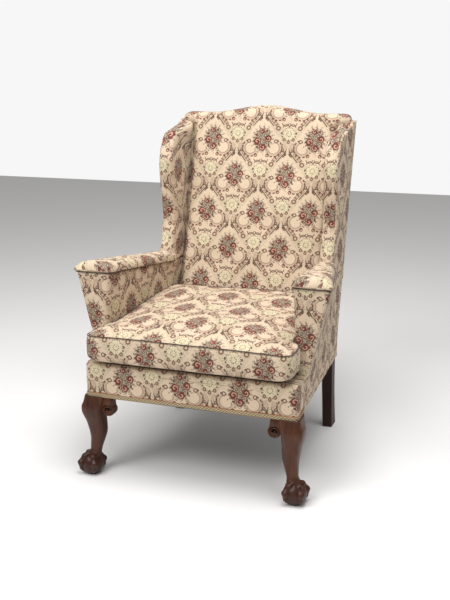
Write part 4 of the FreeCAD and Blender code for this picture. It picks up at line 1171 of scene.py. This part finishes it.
def tube(line, radius, closed=False):
    # round section carried along a nearly level line
    if closed:
        line = looped(line)
    along = np.gradient(line, axis=0)
    if closed:
        along[0] = along[-1] = line[1] - line[-2]
    level = levelNormal(along)
    turn = circle(8)[None, :, None]
    return surface(line[:, None] + radius * (np.cos(turn) * level[:, None] + np.sin(turn) * up))


def seatCushion():
    # one surface for bottom and border, another for the crowned top, meeting in the seam
    c = cushion
    ring = cushionOutline()
    outward = levelNormal(np.roll(ring, -1, 0) - np.roll(ring, 1, 0))
    if ((ring - ring.mean(0)) * outward).sum() < 0:
        outward = -outward
    middle = np.array([c["center"][0], c["center"][1], 0])
    u = lengthFrom(ring, int(np.argmin(np.abs(ring[:, 0]) + ring[:, 1]))) - c["border"][0]
    rise = c["rearRise"] * np.clip((ring[:, 1] - 0.03) / 0.44, 0, 1)
    sag = c["sag"] * waves(ring[:, 0], ring[:, 1], 4, 9) + rise
    lean = np.array([0, 1, 0]) * (chair["insideRake"] * ramp(0.36, 0.46, ring[:, 1]))[:, None]
    rows, uvs = [], []
    for share in (0.0, 0.35, 0.7, 0.90, 0.955):
        lifted = c["low"] + 0.0005 * (share < 0.9) + 0.0025 * (share > 0.95)
        rows.append(middle + (ring - middle) * share + up * lifted)
        uvs.append(np.column_stack([u, np.full(len(u), c["low"] - c["border"][1] - 0.2 * (1 - share))]))
    rows[0] = rows[0] + (ring - middle) * 0.01
    for t in np.linspace(0, 1, 26):
        z = c["low"] + c["lifted"] + (c["seam"] - c["low"] - c["lifted"]) * t
        edges = bell(t, c["edgeWide"]) + bell(1 - t, c["edgeWide"])
        swell = c["bulge"] * math.sin(math.pi * t) ** 0.7 - c["edgeIn"] * edges
        wave = 0.0008 * waves(ring[:, 0], ring[:, 1] + 3 * t, 6, 26)[:, None] * math.sin(math.pi * t)
        height = z + sag[:, None] * t
        rows.append(ring + outward * (swell + wave) + up * height + lean * (height - c["low"]))
        uvs.append(np.column_stack([u, np.full(len(u), z - c["border"][1])]))
    border = surface(placed(np.array(rows)), np.array(uvs))
    rows, uvs = [], []
    for s in np.concatenate([[0, 0.0015, 0.004, 0.009], np.linspace(0.018, 0.995, 60)]):
        lift = c["crown"] * (1 - (1 - s) ** 2.2) - 0.0022 * bell(s, 0.006)
        rolled = min(1.0, s / 0.02) * 0.0035 - 0.0025
        flat = middle + (ring - middle) * (1 - s) + outward * rolled * (1 - s)
        lumps = 0.0035 * waves(flat[:, 0], flat[:, 1], 9, 17) * min(1, s * 8)
        height = (c["seam"] + 0.0008 + lift + lumps + sag * (1 - s) ** 1.6)[:, None]
        rows.append(flat + up * height + lean * (1 - s) * (height - c["low"]))
        uvs.append(looped((flat[:, :2] - np.array(c["top"])) * np.array([1, c["topScale"]])))
    top = surface(placed(np.array(rows)), np.array(uvs))
    makePiece("seatCushion", [border, top], cloth, body="cushion", replaced=("seat_cushion",))
    # painted shadow in the seam: a thin dark cord round the cushion along it
    height = (c["seam"] + sag)[:, None]
    path = ring + outward * 0.0002 + up * height + lean * (height - c["low"])
    makePiece("cushionSeamShadow", [tube(placed(path), c["seamRadius"], closed=True)], seamPaintedShadow, body="cushion")


rail = {
    "low": 0.2445,
    "high": 0.3450,
    "back": 0.112,
    "columns": 220,
    "levels": 24,
    "rose": (-0.196, 0.307),
    "rounds": (0.004, 0.018, 0.018, 0.004),
    "over": 0.001,
}


def frontBorder():
    # level rings: slightly swelled front, rounded corners, returns along the sides as far as the arms
    rows, uvs = [], []
    half = sideHalf(0.0) + rail["over"]
    rear = sideHalf(rail["back"]) - 0.0015
    for t in np.linspace(0, 1, rail["levels"]):
        z = rail["low"] + (rail["high"] - rail["low"]) * t
        corners = [(-rear, rail["back"], z), (-half, 0.0, z), (half, 0.0, z), (rear, rail["back"], z)]
        ring = roundRing(corners, rail["rounds"], rail["columns"])
        u = lengthFrom(ring, int(np.argmin(np.abs(ring[:, 0]) + 10 * ring[:, 1])))
        inset = 0.010 * ramp(0.93, 1.0, t) ** 2 + 0.002 * ramp(0.05, 0.0, t)
        swell = 0.002 * math.sin(math.pi * t) - inset
        lumps = 0.0006 * waves(ring[:, 0], ring[:, 2], 7, 45) * (ring[:, 1] < 0.02)
        ring[:, 1] -= swell * (ring[:, 1] < 0.05) + lumps
        rows.append(ring)
        uvs.append(np.column_stack([u - rail["rose"][0], np.full(len(u), z - rail["rose"][1])]))
    makePiece("frontBorder", [surface(placed(np.array(rows)), np.array(uvs))], cloth,
              replaced=("front_rail_cover",))


deck = {
    "corners": ((-0.262, 0.520), (-0.280, 0.012), (0.280, 0.012), (0.262, 0.520)),
    "middle": 0.266,
    "half": 0.27,
    "round": 0.03,
    "rings": ((0.331, 0.004), (0.340, 0.0), (0.349, 0.0), (0.3535, 0.004), (0.3556, 0.012), (0.3559, 0.05),
              (0.3560, 0.09)),
}


def seatDeck():
    # padded deck under the cushion in level rounded rings, each of a height and an inset
    rows, uvs = [], []
    for z, inset in deck["rings"]:
        scale = 1 - inset / deck["half"]
        corners = [(x * scale, deck["middle"] + (y - deck["middle"]) * scale, z) for x, y in deck["corners"]]
        ring = roundRing(corners, deck["round"] * scale, 200)
        rows.append(ring)
        uvs.append(looped(ring[:, :2]))
    # painted shade: the deck is dark brown so that the gap under the cushion's front reads as shadow
    makePiece("seatDeck", [surface(placed(np.array(rows)), np.array(uvs))], deckClothPaintedShade,
              replaced=("deck_pad", "deck_cover", "front_edge_roll"))


sheet = {
    "half": 0.2885,
    "tall": 0.77,
    "underCrest": 0.0135,
    "rise": 0.002,
    "thick": 0.0036,
    "puff": 0.0012,
    "columns": 60,
    "rows": 70,
    "pattern": (-0.165, 0.942),
}


def outsideBack():
    # a thin cover down the rear, as wide as the chair, following the crest
    share = np.linspace(0, 1, sheet["rows"])[:, None]
    x = np.linspace(-1, 1, sheet["columns"])
    px = (sheet["half"] + chair["lean"] * share * sheet["tall"]) * np.concatenate([x, x[::-1]])
    low = chair["low"] + sheet["rise"]
    pz = low + share * (crestZ(px) - sheet["underCrest"] - low)
    outer = np.concatenate([0 * x + 1, 0 * x])
    py = backY(pz) - 0.005 + outer * (sheet["thick"] + sheet["puff"] * waves(px, pz, 12, 20))
    points = stack(px, py, pz)
    uv = np.concatenate([points, points[:, :1]], 1)[..., ::2] - np.array(sheet["pattern"])
    makePiece("outsideBack", [surface(placed(points), uv)], cloth,
              replaced=("outside_back_cover",))


band = {
    "low": 0.2435,
    "high": 0.2580,
    "thick": 0.0022,
    "short": 0.035,
    "section": ((0.0, 0.0), (0.0, 1.0), (0.25, 1.0), (0.9, 0.86), (1.0, 0.7), (0.85, 0.5), (1.0, 0.3),
                (0.9, 0.14), (0.25, 0.0)),
}


def braidBand():
    # a narrow flat band along the rail's lower edge, round the front corners
    half = sideHalf(0.0) + rail["over"]
    rear = rail["back"] - band["short"]
    corners = np.array([(-sideHalf(rear), rear, 0), (-half, 0, 0), (half, 0, 0), (sideHalf(rear), rear, 0)])
    ring = roundRing(corners, (0.001, 0.018, 0.018, 0.001), 420)
    keep = ring[:, 1] < rear - 0.0015
    first = int(np.where(keep & ~np.roll(keep, 1))[0][0])
    line = np.roll(ring, -first, 0)[:keep.sum()]
    if line[0, 0] > line[-1, 0]:
        line = line[::-1]
    outward = levelNormal(np.gradient(line, axis=0))
    out, rise = np.array(band["section"]).T[..., None]
    v = (band["high"] - band["low"]) * rise
    points = line[:, None] + outward[:, None] * (band["thick"] * out) + up * (band["low"] + v)
    uv = np.stack(np.broadcast_arrays(lengths(line)[:, None], looped(v)[:, 0]), -1)
    makePiece("braidBand", [surface(placed(points), uv)], braidCloth,
              replaced=("braid",))


insideBack()
for side, label in ((-1, "Left"), (1, "Right")):
    wingPad(side, label)
    wingPanel(side, label)
    armCover(side, label)
    armPad(side, label)
seatCushion()
frontBorder()
seatDeck()
outsideBack()
braidBand()
print("stage: upholstery built")


# Carved front legs

leg = {
    "axis": (0.288, 0.033),
    "levels": [
        (.246, .031, .008, .23), (.227, .032, .012, .40), (.213, .033, .016, .48), (.197, .032, .017, .53),
        (.181, .030, .015, .57), (.165, .0275, .0125, .62), (.143, .0255, .010, .63),
        (.125, .0235, .009, .64), (.107, .0205, .0105, .68), (.085, .0175, .014, .71),
        (.073, .0165, .016, .73), (.058, .0205, .0215, .68), (.050, .0225, .0245, .70)],
    "ballThrow": 0.026,
    "ball": 0.034,
    "lift": 0.0295,
    "toe": 0.0100,
    "toeOut": -0.0025,
    "toeRise": 0.0025,
    "headings": (-45, 37, -127, 135),
    "knuckles": ((0.30, 0.22, 0.09), (0.34, 0.50, 0.09), (0.10, 0.74, 0.08)),
    "knuckleBase": 0.86,
    "claw": 0.62,
}


def frontLeg(side, label):
    # rings of a rounded square that follow the cabriole curve, then the ball and its toes
    table = smoothRun(leg["levels"], 60)
    turn = circle(48)
    c, s = np.cos(turn), np.sin(turn)
    power = (2 / (2 + 5 * (1 - table[:, 3]) ** 1.6))[:, None]
    x = leg["axis"][0] + table[:, 2:3] + table[:, 1:2] * bent(c, power)
    y = leg["axis"][1] - table[:, 2:3] + table[:, 1:2] * bent(s, power)
    shaft = surface(placed(stack(x, y, table[:, 0:1]), side))
    center = np.array([leg["axis"][0] + leg["ballThrow"], leg["axis"][1] - leg["ballThrow"], leg["lift"]])
    rise = np.linspace(-1.5, 1.45, 26)[:, None]
    level = leg["ball"] * np.cos(rise)
    ballZ = np.maximum(leg["ball"] * np.sin(rise) * np.ones(48), 0.0002 - leg["lift"])
    ball = surface(placed(center + stack(level * c, level * s, ballZ), side))
    toes = [toe(center, math.radians(heading), side) for heading in leg["headings"]]
    makePiece("frontLeg" + label, [shaft, ball] + toes, wood,
              replaced=("front_leg_" + label.lower(),))


def toe(center, heading, side):
    # a tapering tube from the ankle over the ball, swelled at the knuckles and pointed at the claw
    lift = np.radians(np.linspace(78, -52, 60))[:, None]
    share = np.linspace(0, 1, 60)[:, None]
    size = leg["knuckleBase"] + sum(high * bell(share - at, wide) for high, at, wide in leg["knuckles"])
    size = leg["toe"] * size * (1 - leg["claw"] * ramp(0.72, 1.0, share))
    reach = leg["ball"] + leg["toeOut"] + leg["toeRise"] * bell(share - 0.5, 0.12)
    out = stack(np.cos(heading) * np.cos(lift), np.sin(heading) * np.cos(lift), np.sin(lift))
    beside = np.array([-math.sin(heading), math.cos(heading), 0])
    turn = circle(16)[None, :, None]
    section = size[..., None] * (np.cos(turn) * beside + np.sin(turn) * out)
    points = center + reach[..., None] * out + section
    points[..., 2] = np.maximum(points[..., 2], 0.0003)
    return surface(placed(points, side))


volute = {
    "radius": 0.0190,
    "turns": 2.1,
    "bead": 0.0026,
    "beadInset": 0.9,
    "start": 1.2,
    "neck": 0.008,
    "neckTip": (0.003, 0.007),
    "neckRounds": (0.006, 0.010, 0.001, 0.004),
    "depths": (0.0, 0.06, 0.16, 0.9, 1.0),
    "sizes": (0.86, 0.97, 1.0, 1.0, 0.97),
}


def ear(node, side, label, flat, deep, tipEnd):
    # a scroll bracket beside the leg: round disc, neck up to the rail, and a spiral bead on its face
    box = np.array(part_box(node + "_right"))
    tip, root = (box[0][flat], box[1][flat]) if tipEnd == 0 else (box[1][flat], box[0][flat])
    face, rear = (box[0][deep], box[1][deep]) if deep == 1 else (box[1][deep], box[0][deep])
    way = np.sign(root - tip)
    r = volute["radius"]
    hub = np.array([tip + way * r, box[0][2] + r])

    def solid(a, d, z):
        places = [None, None, z]
        places[flat], places[deep] = a, d
        return stack(*places) * np.array([side, 1, 1])

    depth = face + (rear - face) * np.array(volute["depths"])[:, None]
    size = np.array(volute["sizes"])[:, None]
    turn = circle(48)[None]
    boss = surface(solid(hub[0] + r * size * np.cos(turn), depth, hub[1] + r * size * np.sin(turn)))
    over, high = root + way * volute["neck"], box[1][2]
    low, top = (tip + way * out for out in volute["neckTip"])
    corners = [(low, hub[1], 0), (top, high, 0), (over, high, 0), (over, hub[1] - 0.5 * r, 0)]
    outline = roundRing(corners, volute["neckRounds"], 48)
    middle = outline.mean(0)
    shaped = middle + (outline - middle)[None] * (0.5 + 0.5 * size[..., None])
    neck = surface(solid(shaped[..., 0], depth, shaped[..., 1]))
    # the bead thins as its spiral closes in on the hub
    t = np.linspace(0, 1, 120)[:, None]
    angle = volute["start"] + 2 * math.pi * volute["turns"] * t
    spread = (r - volute["bead"] * volute["beadInset"]) * (1 - t) ** 0.8 + 0.0015
    thick = volute["bead"] * (1 - 0.45 * t)
    away = spread + thick * np.cos(circle(10))
    lift = thick * np.sin(circle(10))
    bead = surface(solid(hub[0] + way * away * np.cos(angle), face + lift, hub[1] + away * np.sin(angle)))
    makePiece(node.replace("_ear", "Ear") + label, [boss, neck, bead], wood,
              replaced=(node + "_" + label.lower(),))


for side, label in ((-1, "Left"), (1, "Right")):
    frontLeg(side, label)
    ear("front_ear", side, label, 0, 1, 0)
    ear("side_ear", side, label, 1, 0, 1)
print("stage: legs built")


# Materials for the parts that keep their shape

keptParts = (
    (wood, ("front_leg", "front_ear", "side_ear")),
    (darkWood, ("rear_post",)),
    (steel, ("seat_springs", "block_screws", "webbing_tacks")),
    (webbing, ("webbing_cross", "webbing_long", "back_webbing")),
    (hessian, ("seat_hessian", "back_hessian")),
    (blackCloth, ("dust_cover",)),
    (braidCloth, ("braid",)),
    (stuffing, ("deck_pad", "deck_cover", "front_edge_roll", "inside_back_pad", "crest_pad", "wing_pad",
                "inside_arm_pad", "arm_top_pad", "arm_facing", "outside_arm_cover", "outside_wing_cover",
                "outside_back_cover", "front_rail_cover", "seat_cushion")),
)


def dress(node, piece):
    # the material whose list names the node, with or without its side, or else plain frame wood
    material = frameWood
    for choice, names in keptParts:
        if node.removesuffix("_left").removesuffix("_right") in names:
            material = choice
    if not piece.material_slots:
        piece.data.materials.append(material)
    for place in piece.material_slots:
        place.material = material


for node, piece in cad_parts.items():
    dress(node, piece)
print("stage: materials on the kept parts")


# Studio

studio = {
    "focal": 54.07,
    "at": (0.921, -2.5677, 1.180),
    "pitch": 14.621,
    "turn": 18.511,
    "shift": -0.0413,
    "floor": (0.80, 0.79, 0.78, 1),
    "sky": (0.93, 0.93, 0.93, 1),
    "soft": 0.42,
}


def buildCamera():
    data = bpy.data.cameras.new("camera")
    data.sensor_fit = "VERTICAL"
    data.sensor_height = 36
    data.lens = studio["focal"]
    data.shift_x = studio["shift"]
    camera = bpy.data.objects.new("camera", data)
    camera.location = studio["at"]
    camera.rotation_euler = (math.radians(90 - studio["pitch"]), 0, math.radians(studio["turn"]))
    bpy.context.scene.collection.objects.link(camera)
    bpy.context.scene.camera = camera


def areaLight(name, at, aim, size, power):
    data = bpy.data.lights.new(name, "AREA")
    data.shape = "RECTANGLE"
    data.size, data.size_y = size
    data.energy = power
    lamp = bpy.data.objects.new(name, data)
    lamp.location = at
    direction = mathutils.Vector(aim) - mathutils.Vector(at)
    lamp.rotation_euler = direction.to_track_quat("-Z", "Y").to_euler()
    bpy.context.scene.collection.objects.link(lamp)


def buildFloor():
    mesh = bpy.data.meshes.new("floor")
    mesh.from_pydata([(-6, -6, 0), (6, -6, 0), (6, 6, 0), (-6, 6, 0)], [], [(0, 1, 2, 3)])
    floor = bpy.data.objects.new("floor", mesh)
    material = bpy.data.materials.new("paleFloor")
    tree, shader = newTree(material)
    shader.inputs["Base Color"].default_value = studio["floor"]
    shader.inputs["Roughness"].default_value = 0.7
    mesh.materials.append(material)
    bpy.context.scene.collection.objects.link(floor)


def buildSky():
    # an even soft light, and a paler backdrop that only the camera sees
    world = bpy.data.worlds.new("studio")
    bpy.context.scene.world = world
    world.use_nodes = True
    tree = world.node_tree
    soft = tree.nodes["Background"]
    soft.inputs[0].default_value = studio["sky"]
    soft.inputs[1].default_value = studio["soft"]
    backdrop = tree.nodes.new("ShaderNodeBackground")
    backdrop.inputs[0].default_value = studio["sky"]
    mix = tree.nodes.new("ShaderNodeMixShader")
    path = tree.nodes.new("ShaderNodeLightPath")
    tree.links.new(path.outputs["Is Camera Ray"], mix.inputs[0])
    tree.links.new(soft.outputs[0], mix.inputs[1])
    tree.links.new(backdrop.outputs[0], mix.inputs[2])
    tree.links.new(mix.outputs[0], tree.nodes["World Output"].inputs[0])


buildCamera()
buildFloor()
buildSky()
areaLight("key", (-1.2, -2.6, 3.2), (0, 0, 0.5), (2.0, 1.6), 84)
areaLight("top", (0.5, -0.5, 3.2), (0, -0.1, 0.4), (1.8, 1.8), 88)
bpy.context.scene.view_settings.view_transform = "Standard"
print("stage: studio built")
